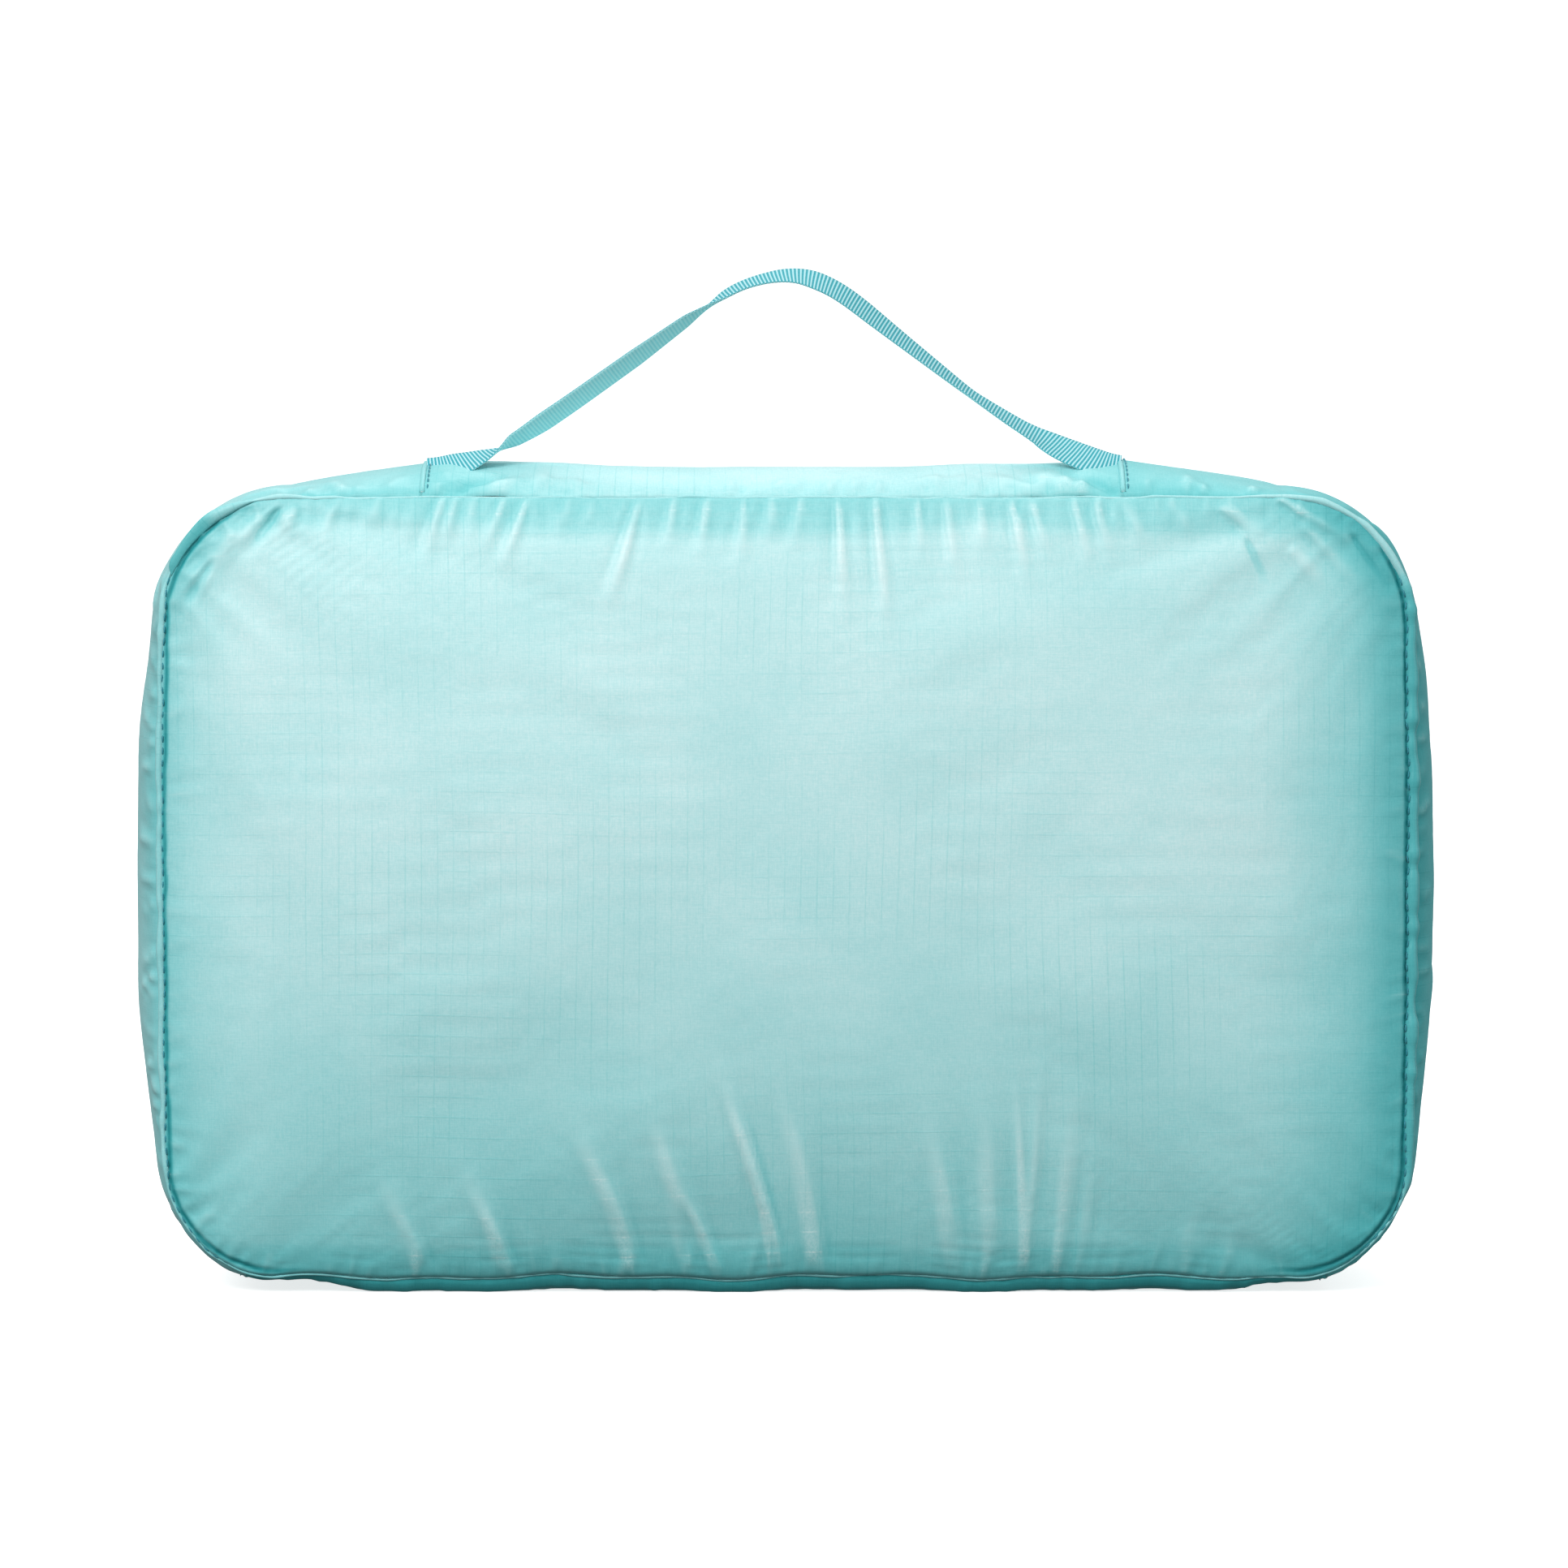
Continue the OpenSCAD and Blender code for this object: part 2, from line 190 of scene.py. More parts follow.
# ---------------------------------------------------------------- how far the gusset bulges
def top_swell(x):
    """Bulge of the top gusset at a distance x from the middle."""
    inner = TOP_BULGE + (HANDLE_BULGE - TOP_BULGE) * (x / HANDLE_RIGHT) ** 2
    reach = HALF_W * (1 - BOW) - TOP_R
    fade = np.clip((reach - x) / (reach - HANDLE_RIGHT), 0, 1) ** 0.8
    return np.where(x < HANDLE_RIGHT, inner, CORNER_BULGE + (HANDLE_BULGE - CORNER_BULGE) * fade)


def base_swell(x):
    """Bulge of the base gusset: down to just under the floor, which then presses it flat."""
    pressed, blend = 1.2 * MM, 25 * MM
    return CORNER_BULGE + (SEAM_LOW + pressed - CORNER_BULGE) * ease((HALF_W - BOTTOM_R - x) / blend)


def side_swell(z):
    """Bulge of the side gussets at height z."""
    return CORNER_BULGE + (SIDE_BULGE - CORNER_BULGE) * ease(1.25 - abs(z - MID_Z) / (HALF_H * 0.8))


def bulge(p):
    """Bulge of the gusset at its middle line, at flat points p of the seam."""
    x, z = abs(p[..., 0]), p[..., 1]
    top, base = z > SEAM_HIGH - 0.02 * MM, z < SEAM_LOW + 2 * MM
    return np.where(top, top_swell(x), np.where(base, base_swell(x), side_swell(z)))


def swell(y, y0, y1):
    """Share of the full bulge at depth y, from 0 at both seams to 1 halfway."""
    u = (2 * y - y0 - y1) / (y1 - y0)
    return np.clip(1 - u * u, 0, 1) ** SHOULDER


# ---------------------------------------------------------------- noise and folds
def value_noise(u, v, scale, seed):
    """Smooth noise from -1 to 1 over coordinates u and v."""
    table = np.random.default_rng(seed).uniform(-1, 1, (64, 64))
    a, b = u / scale, v / scale
    i, j = np.floor(a).astype(int), np.floor(b).astype(int)
    fa, fb = ease(a - i), ease(b - j)

    def at(m, n):
        return table[(i + m) % 64, (j + n) % 64]

    low = at(0, 0) * (1 - fa) + at(1, 0) * fa
    high = at(0, 1) * (1 - fa) + at(1, 1) * fa
    return low * (1 - fb) + high * fb


def bell(x, centre, width):
    """A bell curve of height 1."""
    return np.exp(-(((x - centre) / width) ** 2))


def waver(s, scale, seed):
    """Smooth noise from -1 to 1 along a line."""
    return value_noise(s, s * 0, scale, seed)


def ridge(u, v, start, end, height, width, bend=0.0):
    """Height of a fold that starts narrow, widens and fades out at its end.

    It bends sideways by bend in the middle, and has a shallow valley on each side.
    """
    a, b = np.array(start, float), np.array(end, float)
    d = b - a
    length = np.hypot(*d)
    along = ((u - a[0]) * d[0] + (v - a[1]) * d[1]) / length**2
    off = ((u - a[0]) * d[1] - (v - a[1]) * d[0]) / length
    inside = np.clip(along, 0, 1)
    off = off - 4 * bend * inside * (1 - inside)
    off = off + value_noise(inside * length + a[0], inside * 0 + a[1], 9 * MM, 5) * 0.15 * width
    spread = width * (0.6 + 0.8 * inside)
    crest = bell(off, 0, spread) - 0.32 * bell(off, 1.8 * spread, spread)
    crest = crest - 0.16 * bell(off, -1.8 * spread, spread)
    taper = ease((along + 0.04) / 0.14) * ease((1.06 - along) / 0.8)
    return height * crest * taper


def creases_over(u, v, rows):
    """Height of straight creases, from rows of start u, v, end u, v, height and width in mm."""
    total = np.zeros(u.shape)
    for row in rows:
        u0, v0, u1, v1, height, width = (value * MM for value in row)
        total += ridge(u, v, (u0, v0), (u1, v1), height, width)
    return total


# ---------------------------------------------------------------- meshes
def make_object(name, points, faces):
    """A smooth-shaded mesh object from points and faces that all have the same number of corners."""
    mesh = bpy.data.meshes.new(name)
    points = np.asarray(points, float).reshape(-1, 3)
    faces = np.asarray(faces, int)
    mesh.vertices.add(len(points))
    mesh.vertices.foreach_set("co", points.ravel())
    size = faces.shape[1]
    mesh.loops.add(faces.size)
    mesh.loops.foreach_set("vertex_index", faces.ravel())
    mesh.polygons.add(len(faces))
    mesh.polygons.foreach_set("loop_start", np.arange(0, faces.size, size))
    mesh.polygons.foreach_set("use_smooth", np.full(len(faces), True))
    mesh.update(calc_edges=True)
    mesh.validate()
    obj = bpy.data.objects.new(name, mesh)
    bpy.context.scene.collection.objects.link(obj)
    return obj


def merge_close(obj, distance=0.001 * MM):
    """Join points that lie together, and turn all faces outwards."""
    work = bmesh.new()
    work.from_mesh(obj.data)
    bmesh.ops.remove_doubles(work, verts=work.verts, dist=distance)
    bmesh.ops.recalc_face_normals(work, faces=work.faces)
    work.to_mesh(obj.data)
    work.free()


def grid_faces(m, n, start=0, flip=False):
    """Quads of an m by n grid whose points begin at number start."""
    k = (np.arange(m - 1)[:, None] * n + np.arange(n - 1)[None, :]).ravel() + start
    quads = np.stack([k, k + n, k + n + 1, k + 1], 1)
    return quads[:, ::-1] if flip else quads


def grid_normals(p, flip):
    """Unit normals at the points of a grid."""
    n = np.cross(np.gradient(p, axis=0), np.gradient(p, axis=1))
    n /= np.maximum(np.linalg.norm(n, axis=-1, keepdims=True), 1e-12)
    return -n if flip else n


def add_attribute(obj, name, values):
    """Store a vector for each point, for the materials to read."""
    layer = obj.data.attributes.new(name, "FLOAT_VECTOR", "POINT")
    layer.data.foreach_set("vector", np.asarray(values, np.float32).ravel())


def triangles(quads):
    return np.concatenate([quads[:, [0, 1, 2]], quads[:, [0, 2, 3]]])


def rim_of(m, n):
    """Point numbers round the edge of an m by n grid."""
    first, last = np.arange(n), (m - 1) * n + np.arange(n - 2, -1, -1)
    return np.concatenate([first, n - 1 + n * np.arange(1, m), last, n * np.arange(m - 2, 0, -1)])


def cloth_shell(name, outer, cloth, tone=None, flip=False, thickness=CLOTH_T):
    """A thin closed shell: the grid outer, and every second point of it pushed inwards by the thickness.

    Both sides of the grid have an odd count of points. cloth is (u, v, distance to the seam) and tone is
    (crest of a fold, which sets a painted highlight; depth of colour, which holds painted shade; painted
    shadow of a seam) at each point.
    """
    m, n = outer.shape[:2]
    k, j = (m + 1) // 2, (n + 1) // 2
    inner = (outer - grid_normals(outer, flip) * thickness)[::2, ::2]
    fine = rim_of(m, n)
    coarse = rim_of(k, j) + m * n
    after, middle, end = np.roll(coarse, -1), fine[1::2], np.roll(fine[::2], -1)
    corners = ((fine[::2], middle, coarse), (middle, after, coarse), (middle, end, after))
    edge = np.concatenate([np.stack(three, 1) for three in corners])
    front = triangles(grid_faces(m, n, 0, flip))
    back = triangles(grid_faces(k, j, m * n, not flip))
    faces = np.concatenate([front, back, edge[:, ::-1] if flip else edge])
    obj = make_object(name, np.concatenate([outer.reshape(-1, 3), inner.reshape(-1, 3)]), faces)
    tone = np.zeros(outer.shape) if tone is None else tone
    for key, values in (("cloth", cloth), ("tone", tone)):
        add_attribute(obj, key, np.concatenate([values.reshape(-1, 3), values[::2, ::2].reshape(-1, 3)]))
    return obj


def frames_along(path, up):
    """Side and up vectors along a path, from one rough up vector or one for each point."""
    t = unit(np.gradient(path, axis=0))
    side = unit(np.cross(t, up))
    return side, np.cross(side, t)


def sweep(name, path, up, profile, closed=False, depth=2.0):
    """A profile drawn along a path, with the path's ends joined up or capped.

    profile holds an even number of offsets along side and up, and depth is the depth of colour. Each is
    the same for the whole path or given for each of its points.
    """
    m = len(path)
    profile = np.broadcast_to(profile, (m,) + np.shape(profile)[-2:])
    k = profile.shape[1]
    side, rise = frames_along(path, up)
    pts = path[:, None] + profile[..., :1] * side[:, None] + profile[..., 1:] * rise[:, None]
    rings = m if closed else m - 1
    i = np.arange(rings)[:, None]
    j = np.arange(k)[None, :]
    a, b = i * k + j, ((i + 1) % m) * k + j
    c, d = ((i + 1) % m) * k + (j + 1) % k, i * k + (j + 1) % k
    faces = np.stack([a, b, c, d], -1).reshape(-1, 4)
    points = pts.reshape(-1, 3)
    if not closed:
        centre = len(points)
        points = np.concatenate([points, pts[0].mean(0)[None], pts[-1].mean(0)[None]])
        j = np.arange(0, k, 2)
        first = np.stack([np.full(len(j), centre), j, (j + 1) % k, (j + 2) % k], 1)
        base = (m - 1) * k
        last = np.stack([np.full(len(j), centre + 1), base + (j + 2) % k, base + (j + 1) % k, base + j], 1)
        faces = np.concatenate([faces, first, last])
    obj = make_object(name, points, faces)
    cloth = np.zeros((m, k, 3))
    cloth[..., 0] = arc_lengths(path)[:, None]
    cloth[..., 1] = profile[..., 0]
    cloth[..., 2] = 10 * MM
    flat = cloth.reshape(-1, 3)
    if not closed:
        flat = np.concatenate([flat, flat[:1], flat[-1:]])
    add_attribute(obj, "cloth", flat)
    tone = np.zeros((len(flat), 3))
    tone[:m * k, 1] = np.repeat(np.broadcast_to(depth, (m,)), k)
    add_attribute(obj, "tone", tone)
    return obj


def round_profile(radius_side, radius_up, sides=10):
    """An oval profile for sweep. Each radius is one number, or one for each point of the path."""
    a = np.linspace(0, 2 * math.pi, sides, endpoint=False)
    sideways = np.multiply.outer(radius_side, np.cos(a))
    return np.stack([sideways, np.multiply.outer(radius_up, np.sin(a))], -1)


def join_parts(name, parts):
    """One mesh from many (points, faces) parts of the same face size."""
    points, faces, start = [], [], 0
    for p, f in parts:
        points.append(np.asarray(p).reshape(-1, 3))
        faces.append(np.asarray(f) + start)
        start += len(points[-1])
    return make_object(name, np.concatenate(points), np.concatenate(faces))


# Sides of a tube. The caps at its ends are drawn for six.
TUBE_SIDES = 6


def tube(path, side, rise, radius):
    """Points and faces of a fine six-sided tube round a path, closed at both ends."""
    n = TUBE_SIDES
    angle = np.linspace(0, 2 * math.pi, n, endpoint=False)
    across, up = np.cos(angle)[None, :, None], np.sin(angle)[None, :, None]
    points = path[:, None] + radius * (across * side[:, None] + up * rise[:, None])
    i, j = np.meshgrid(np.arange(len(path) - 1) * n, np.arange(n), indexing="ij")
    after = (j + 1) % n
    faces = np.stack([i + j, i + n + j, i + n + after, i + after], -1).reshape(-1, 4)
    end = (len(path) - 1) * n
    caps = [[0, 1, 2, 3], [0, 3, 4, 5], [end + 3, end + 2, end + 1, end], [end + 5, end + 4, end + 3, end]]
    return points.reshape(-1, 3), np.concatenate([faces, caps])


def stitch_row(name, path, up, pitch=2.6 * MM, length=1.9 * MM, radius=0.17 * MM, lift=0.12 * MM):
    """A row of thread stitches along a path: short rounded bars that dip into the cloth at both ends."""
    s = arc_lengths(path)
    rise = frames_along(path, up)[1]
    u = np.linspace(-1, 1, 6)
    taper = np.sqrt(np.clip(1.08 - u**2, 0.05, 1))[:, None, None]
    dip = lift - 0.35 * MM * u[:, None] ** 4
    parts = []
    for start in np.arange(0.3 * pitch, s[-1] - length, pitch):
        at = np.linspace(start, start + length, len(u))
        line, out = read_along(at, s, path), unit(read_along(at, s, rise))
        side = np.cross(unit(np.gradient(line, axis=0)), out)
        parts.append(tube(line + out * dip, side, out, radius * taper))
    return join_parts(name, parts)


# ---------------------------------------------------------------- materials
class Nodes:
    """Short calls for building a material's node tree."""

    def __init__(self, name):
        self.material = bpy.data.materials.new(name)
        self.material.use_nodes = True
        self.tree = self.material.node_tree
        self.shader = self.tree.nodes["Principled BSDF"]

    def add(self, kind, inputs=(), **settings):
        node = self.tree.nodes.new(kind)
        for key, value in settings.items():
            setattr(node, key, value)
        for key, value in dict(inputs).items():
            if isinstance(value, bpy.types.NodeSocket):
                self.tree.links.new(value, node.inputs[key])
            else:
                node.inputs[key].default_value = value
        return node

    def math(self, operation, a, b=0.0, c=0.0):
        return self.add("ShaderNodeMath", {0: a, 1: b, 2: c}, operation=operation).outputs[0]

    def times(self, a, b):
        return self.math("MULTIPLY", a, b)

    def plus(self, a, b):
        return self.math("ADD", a, b)

    def mix(self, share, a, b):
        node = self.add("ShaderNodeMix", {0: share, 6: a, 7: b}, data_type="RGBA")
        return node.outputs[2]

    def map(self, value, low, high, to_low=0.0, to_high=1.0):
        inputs = {"Value": value, "From Min": low, "From Max": high, "To Min": to_low, "To Max": to_high}
        return self.add("ShaderNodeMapRange", inputs, interpolation_type="SMOOTHSTEP").outputs[0]

    def noise(self, vector, scale, detail=2.0, roughness=0.5):
        inputs = {"Vector": vector, "Scale": scale, "Detail": detail, "Roughness": roughness}
        return self.add("ShaderNodeTexNoise", inputs).outputs["Fac"]

    def combine(self, x, y, z=0.0):
        return self.add("ShaderNodeCombineXYZ", {0: x, 1: y, 2: z}).outputs[0]

    def cloth(self, name="cloth"):
        """The three values of a stored attribute."""
        source = self.add("ShaderNodeAttribute", attribute_name=name)
        return self.add("ShaderNodeSeparateXYZ", {0: source.outputs["Vector"]}).outputs

    def bump(self, height, strength, distance):
        inputs = {"Height": height, "Strength": strength, "Distance": distance}
        self.link(self.add("ShaderNodeBump", inputs).outputs[0], "Normal")

    def link(self, socket, name):
        self.tree.links.new(socket, self.shader.inputs[name])

    def set(self, **values):
        for key, value in values.items():
            self.shader.inputs[key.replace("_", " ")].default_value = value


def colour(hex_code):
    """Linear colour from an sRGB hex code."""
    c = [int(hex_code[k:k + 2], 16) / 255 for k in (0, 2, 4)]
    return tuple(v / 12.92 if v <= 0.04045 else ((v + 0.055) / 1.055) ** 2.4 for v in c) + (1,)


# Spacing of the check across and up, and the colour of the cloth at a depth of 1.
GRID_U, GRID_V = 3.4 * MM, 4.3 * MM
CLOTH_TINT = "CBEDEE"
# How far a fold's crest is lightened as a painted highlight, how far the valley beside it is deepened as
# painted shade, the depth of the painted shadow beside a seam, and the depth of the check.
CREST_HIGHLIGHT, VALLEY_SHADE, SEAM_SHADOW_DEPTH, CHECK_DEPTH = 0.38, 0.8, 5.0, 0.36


def threads(n, u, v, along, across):
    """Noise drawn out along one thread direction."""
    return n.noise(n.combine(n.times(u, along), n.times(v, across)), 1.0, 2.0)


def check_lines(n, u, v):
    """The level lines alone, and the whole check, which wanders a little and fades in and out."""
    wave = n.times(n.math("SUBTRACT", n.noise(n.combine(u, v, 5.0), 9.0, 1.0), 0.5), 6 * MM)
    line_u = n.map(n.math("PINGPONG", n.plus(u, wave), GRID_U / 2), 0.02 * MM, 0.24 * MM, 1.0, 0.0)
    line_v = n.map(n.math("PINGPONG", n.plus(v, wave), GRID_V / 2), 0.02 * MM, 0.28 * MM, 1.0, 0.0)
    fade_u = n.map(n.noise(n.combine(u, v, 4.0), 19.0), 0.4, 0.66, 0.08, 1.0)
    fade_v = n.map(n.noise(n.combine(u, v, 9.0), 21.0, 3.0), 0.42, 0.7, 0.05, 0.85)
    return line_v, n.math("MAXIMUM", n.times(line_u, fade_u), n.times(line_v, fade_v))


def ripstop_material(name, specular, sheen):
    """Thin translucent ripstop nylon: a tint raised to the depth of colour, a fine weave and a thin check.

    The crest of a fold is lightened as a painted highlight, with paler painted glints on its threads, and
    the valley beside it is deepened as painted shade.
    """
    n = Nodes(name)
    u, v, _ = n.cloth()
    crest, depth, seam_shade = n.cloth("tone")
    flat = n.combine(u, v)
    slub = n.plus(threads(n, u, v, 300.0, 4200.0), threads(n, u, v, 4200.0, 300.0))
    cloud = n.noise(flat, 15.0, 3.0)
    patch = n.noise(n.combine(u, v, 7.0), 48.0, 2.0)
    speck = n.noise(flat, 1500.0, 2.0, 0.7)
    line_v, check = check_lines(n, u, v)
    grain = n.times(n.map(speck, 0.34, 0.66, 0.45, 1.0), n.map(patch, 0.3, 0.62, 0.45, 1.0))
    # Painted highlight along the crests of folds, and painted shade in the valleys beside them.
    highlight = n.times(n.map(crest, 0.08, 1.0), grain)
    valley = n.map(crest, -0.08, -0.7)
    tint = depth
    for value, low, high, change in ((cloud, 0.25, 0.75, 0.12), (patch, 0.3, 0.7, 0.10),
                                     (slub, 0.75, 1.25, 0.14), (speck, 0.3, 0.7, 0.12)):
        tint = n.plus(tint, n.map(value, low, high, -change, change))
    tint = n.times(tint, n.math("SUBTRACT", 1.0, n.times(highlight, CREST_HIGHLIGHT)))
    tint = n.plus(tint, n.times(valley, VALLEY_SHADE))
    # Painted shadow beside the seam.
    tint = n.plus(tint, n.times(seam_shade, SEAM_SHADOW_DEPTH))
    tint = n.plus(tint, n.times(check, CHECK_DEPTH))
    base = n.add("ShaderNodeGamma", {"Color": colour(CLOTH_TINT), "Gamma": tint}).outputs[0]
    # Painted highlight: a pale glint on the crests of folds, brighter on their threads.
    glint = n.plus(n.times(highlight, 0.2), n.times(n.times(highlight, line_v), 0.4))
    base = n.mix(glint, base, colour("EAFBFA"))
    n.link(base, "Base Color")
    crinkle = n.noise(n.combine(u, v, 2.0), 170.0, 4.0, 0.6)
    height = n.plus(n.times(check, 0.3), n.times(slub, 0.3))
    height = n.plus(height, n.times(crinkle, 1.4))
    n.bump(height, 0.5, 0.12 * MM)
    n.set(Roughness=0.42, Specular_IOR_Level=specular, Sheen_Weight=sheen, Sheen_Roughness=0.4)
    return n.material


def tape_material(name, light, dark, rib=0.6 * MM):
    """Woven tape with fine ribs across its length."""
    n = Nodes(name)
    u, v, _ = n.cloth()
    ribs = n.map(n.math("PINGPONG", u, rib / 2), 0.0, rib / 2)
    thread, zigzag = 0.35 * MM, 0.9 * MM
    chevron = n.math("PINGPONG", n.plus(u, n.math("PINGPONG", v, zigzag)), thread)
    weave = n.map(chevron, 0.0, thread)
    cloud = n.noise(n.combine(u, v), 240.0, 2.0)
    base = n.mix(n.map(cloud, 0.3, 0.7), colour(dark), colour(light))
    base = n.mix(n.times(weave, 0.35), base, colour(dark))
    n.link(base, "Base Color")
    n.bump(n.plus(ribs, weave), 0.6, 0.12 * MM)
    n.set(Roughness=0.6, Sheen_Weight=0.25)
    return n.material


def webbing_material():
    """Ribbed webbing, with painted highlights on the crowns and painted shade in the gaps of its outer
    face.

    crest is 0 to 1 over each rib of the outer face, and below 0 on the inner face, whose ribs are fainter.
    """
    n = Nodes("webbing")
    u, v, crest = n.cloth()
    thread = threads(n, u, v, 900.0, 5000.0)
    tone = n.mix(n.map(crest, 0.25, 0.95), colour("2C9DAA"), colour("B6E2E7"))
    # The inner face is painted lighter, standing in for the light that it misses as it faces down and
    # forwards.
    inner = n.mix(n.map(crest, -0.6, -0.3), colour("9CE6EC"), colour("C4F6F8"))
    tone = n.mix(n.map(crest, -0.1, -0.2), tone, inner)
    tone = n.mix(n.map(thread, 0.35, 0.7, 0.0, 0.25), tone, colour("86CDD3"))
    n.link(tone, "Base Color")
    n.bump(thread, 0.4, 0.1 * MM)
    n.set(Roughness=0.65, Specular_IOR_Level=0.08, Sheen_Weight=0.0)
    return n.material


def thread_material(name, code):
    """Twisted sewing thread."""
    n = Nodes(name)
    source = n.add("ShaderNodeTexCoord").outputs["Object"]
    twist = n.add("ShaderNodeTexWave", {"Vector": source, "Scale": 900.0, "Distortion": 2.0})
    tone = n.mix(n.map(twist.outputs["Fac"], 0.0, 1.0, 0.0, 0.4), colour(code), colour("1C7C88"))
    n.link(tone, "Base Color")
    n.bump(twist.outputs["Fac"], 0.4, 0.05 * MM)
    n.set(Roughness=0.55, Sheen_Weight=0.2)
    return n.material


def plastic_material(name, code, roughness):
    """Moulded plastic with a fine grain and paler clouds."""
    n = Nodes(name)
    source = n.add("ShaderNodeTexCoord").outputs["Object"]
    grain = n.noise(source, 1400.0, 3.0)
    cloud = n.noise(source, 90.0, 2.0)
    tone = n.mix(n.map(cloud, 0.3, 0.7, 0.0, 0.25), colour(code), colour("DDF1F0"))
    n.link(tone, "Base Color")
    n.link(n.map(grain, 0.2, 0.8, roughness - 0.06, roughness + 0.08), "Roughness")
    n.bump(grain, 0.15, 0.04 * MM)
    return n.material


def metal_material():
    """Lacquered slider metal, worn a little brighter in patches."""
    n = Nodes("zip_metal")
    source = n.add("ShaderNodeTexCoord").outputs["Object"]
    wear = n.noise(source, 420.0, 4.0, 0.6)
    tone = n.mix(n.map(wear, 0.45, 0.75), colour("7FC3C8"), colour("B9DCDD"))
    n.link(tone, "Base Color")
    n.link(n.map(wear, 0.2, 0.8, 0.26, 0.42), "Roughness")
    n.bump(wear, 0.12, 0.05 * MM)
    n.set(Metallic=0.35)
    return n.material


def label_material():
    """Satin ribbon with fine rows of thread."""
    n = Nodes("label")
    thread = 0.12 * MM
    rows = n.math("PINGPONG", n.cloth()[1], thread)
    tone = n.mix(n.map(rows, 0.0, thread), colour("F4F5F3"), colour("E2E6E4"))
    n.link(tone, "Base Color")
    n.bump(rows, 0.4, 0.05 * MM)
    n.set(Roughness=0.4, Sheen_Weight=0.3)
    return n.material


RIPSTOP = ripstop_material("ripstop", 0.3, 0.08)
RIPSTOP_SHADED = ripstop_material("ripstop_shaded", 0.06, 0.0)
BINDING = tape_material("binding", "8FCFD0", "5DB3B8")
ZIP_TAPE = tape_material("zip_tape", "86CBCD", "58B0B6", 0.5 * MM)
WEBBING = webbing_material()
THREAD = thread_material("thread", "2590A0")
COIL = plastic_material("zip_coil", "76C3C7", 0.35)
METAL = metal_material()
LABEL = label_material()


def finish_piece(obj, material, slot, body, *nodes):
    """Give a piece its material, the nodes that it replaces and the body that it rides on. slot is not
    used.
    """
    obj.data.materials.append(material)
    if nodes:
        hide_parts(*nodes)
    if body:
        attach(obj, body)


# ---------------------------------------------------------------- cloth settling
# Push from inside, in Blender's unit for cloth.
PRESSURE = 0.6
# Furthest that a point of a panel or of a gusset moves while it settles.
PANEL_PLAY, GUSSET_PLAY = 2.5 * MM, 1.5 * MM
# Height above the floor that a gusset's points keep until its grid is refined.
FLOOR_GAP = 0.05 * MM
# Height of a fold whose crest has the full painted highlight, on a panel and on a gusset.
PANEL_CREST, GUSSET_CREST = 0.58 * MM, 1.2 * MM


def settle(points, pinned, pressure, cap, frames=14):
    """Let Blender's cloth settle a grid under a little pressure from inside, with some points pinned.

    No point moves further than cap.
    """
    m, n = points.shape[:2]
    obj = make_object("settling", points, grid_faces(m, n))
    group = obj.vertex_groups.new(name="pin")
    group.add([int(k) for k in np.flatnonzero(pinned.ravel())], 1.0, "REPLACE")
    cloth = obj.modifiers.new("cloth", "CLOTH")
    s = cloth.settings
    s.quality = 5
    s.mass = 0.02
    s.tension_stiffness = s.compression_stiffness = 8
    s.shear_stiffness = 4
    s.bending_stiffness = 0.02
    s.tension_damping = s.compression_damping = s.shear_damping = 4
    s.bending_damping = 0.4
    s.vertex_group_mass = "pin"
    s.effector_weights.gravity = 0
    s.use_pressure = True
    s.uniform_pressure_force = pressure
    cloth.collision_settings.use_collision = False
    cloth.point_cache.frame_start, cloth.point_cache.frame_end = 1, frames
    scene = bpy.context.scene
    for f in range(1, frames + 1):
        scene.frame_set(f)
    out = np.empty(m * n * 3)
    evaluated = obj.evaluated_get(bpy.context.evaluated_depsgraph_get())
    evaluated.data.vertices.foreach_get("co", out)
    bpy.data.objects.remove(obj)
    scene.frame_set(1)
    move = out.reshape(points.shape) - points
    size = np.maximum(np.linalg.norm(move, axis=-1, keepdims=True), 1e-9)
    return points + move / size * cap * np.tanh(size / cap)


def edge_pins(m, n):
    """True round the edge of an m by n grid."""
    pinned = np.zeros((m, n), bool)
    pinned[[0, -1], :] = pinned[:, [0, -1]] = True
    return pinned


def refine(p):
    """A grid of values or points with twice as many each way, on smooth curves through the old ones."""
    for axis in (0, 1):
        p = np.moveaxis(p, axis, 0)
        padded = np.concatenate([2 * p[:1] - p[1:2], p, 2 * p[-1:] - p[-2:-1]])
        middle = (9 * (padded[1:-2] + padded[2:-1]) - padded[:-3] - padded[3:]) / 16
        out = np.empty((2 * len(p) - 1,) + p.shape[1:])
        out[0::2], out[1::2] = p, middle
        p = np.moveaxis(out, 0, axis)
    return p


# ---------------------------------------------------------------- panels
# Points each way of the grid that the cloth settles on, and of the finished panel.
COARSE, FINE = (121, 77), (421, 151)


def crowded(count, share):
    """Numbers from 0 to 1, closer together near both ends by the given share."""
    t = np.linspace(0, 1, count)
    return t - share * np.sin(2 * math.pi * t) / (2 * math.pi)


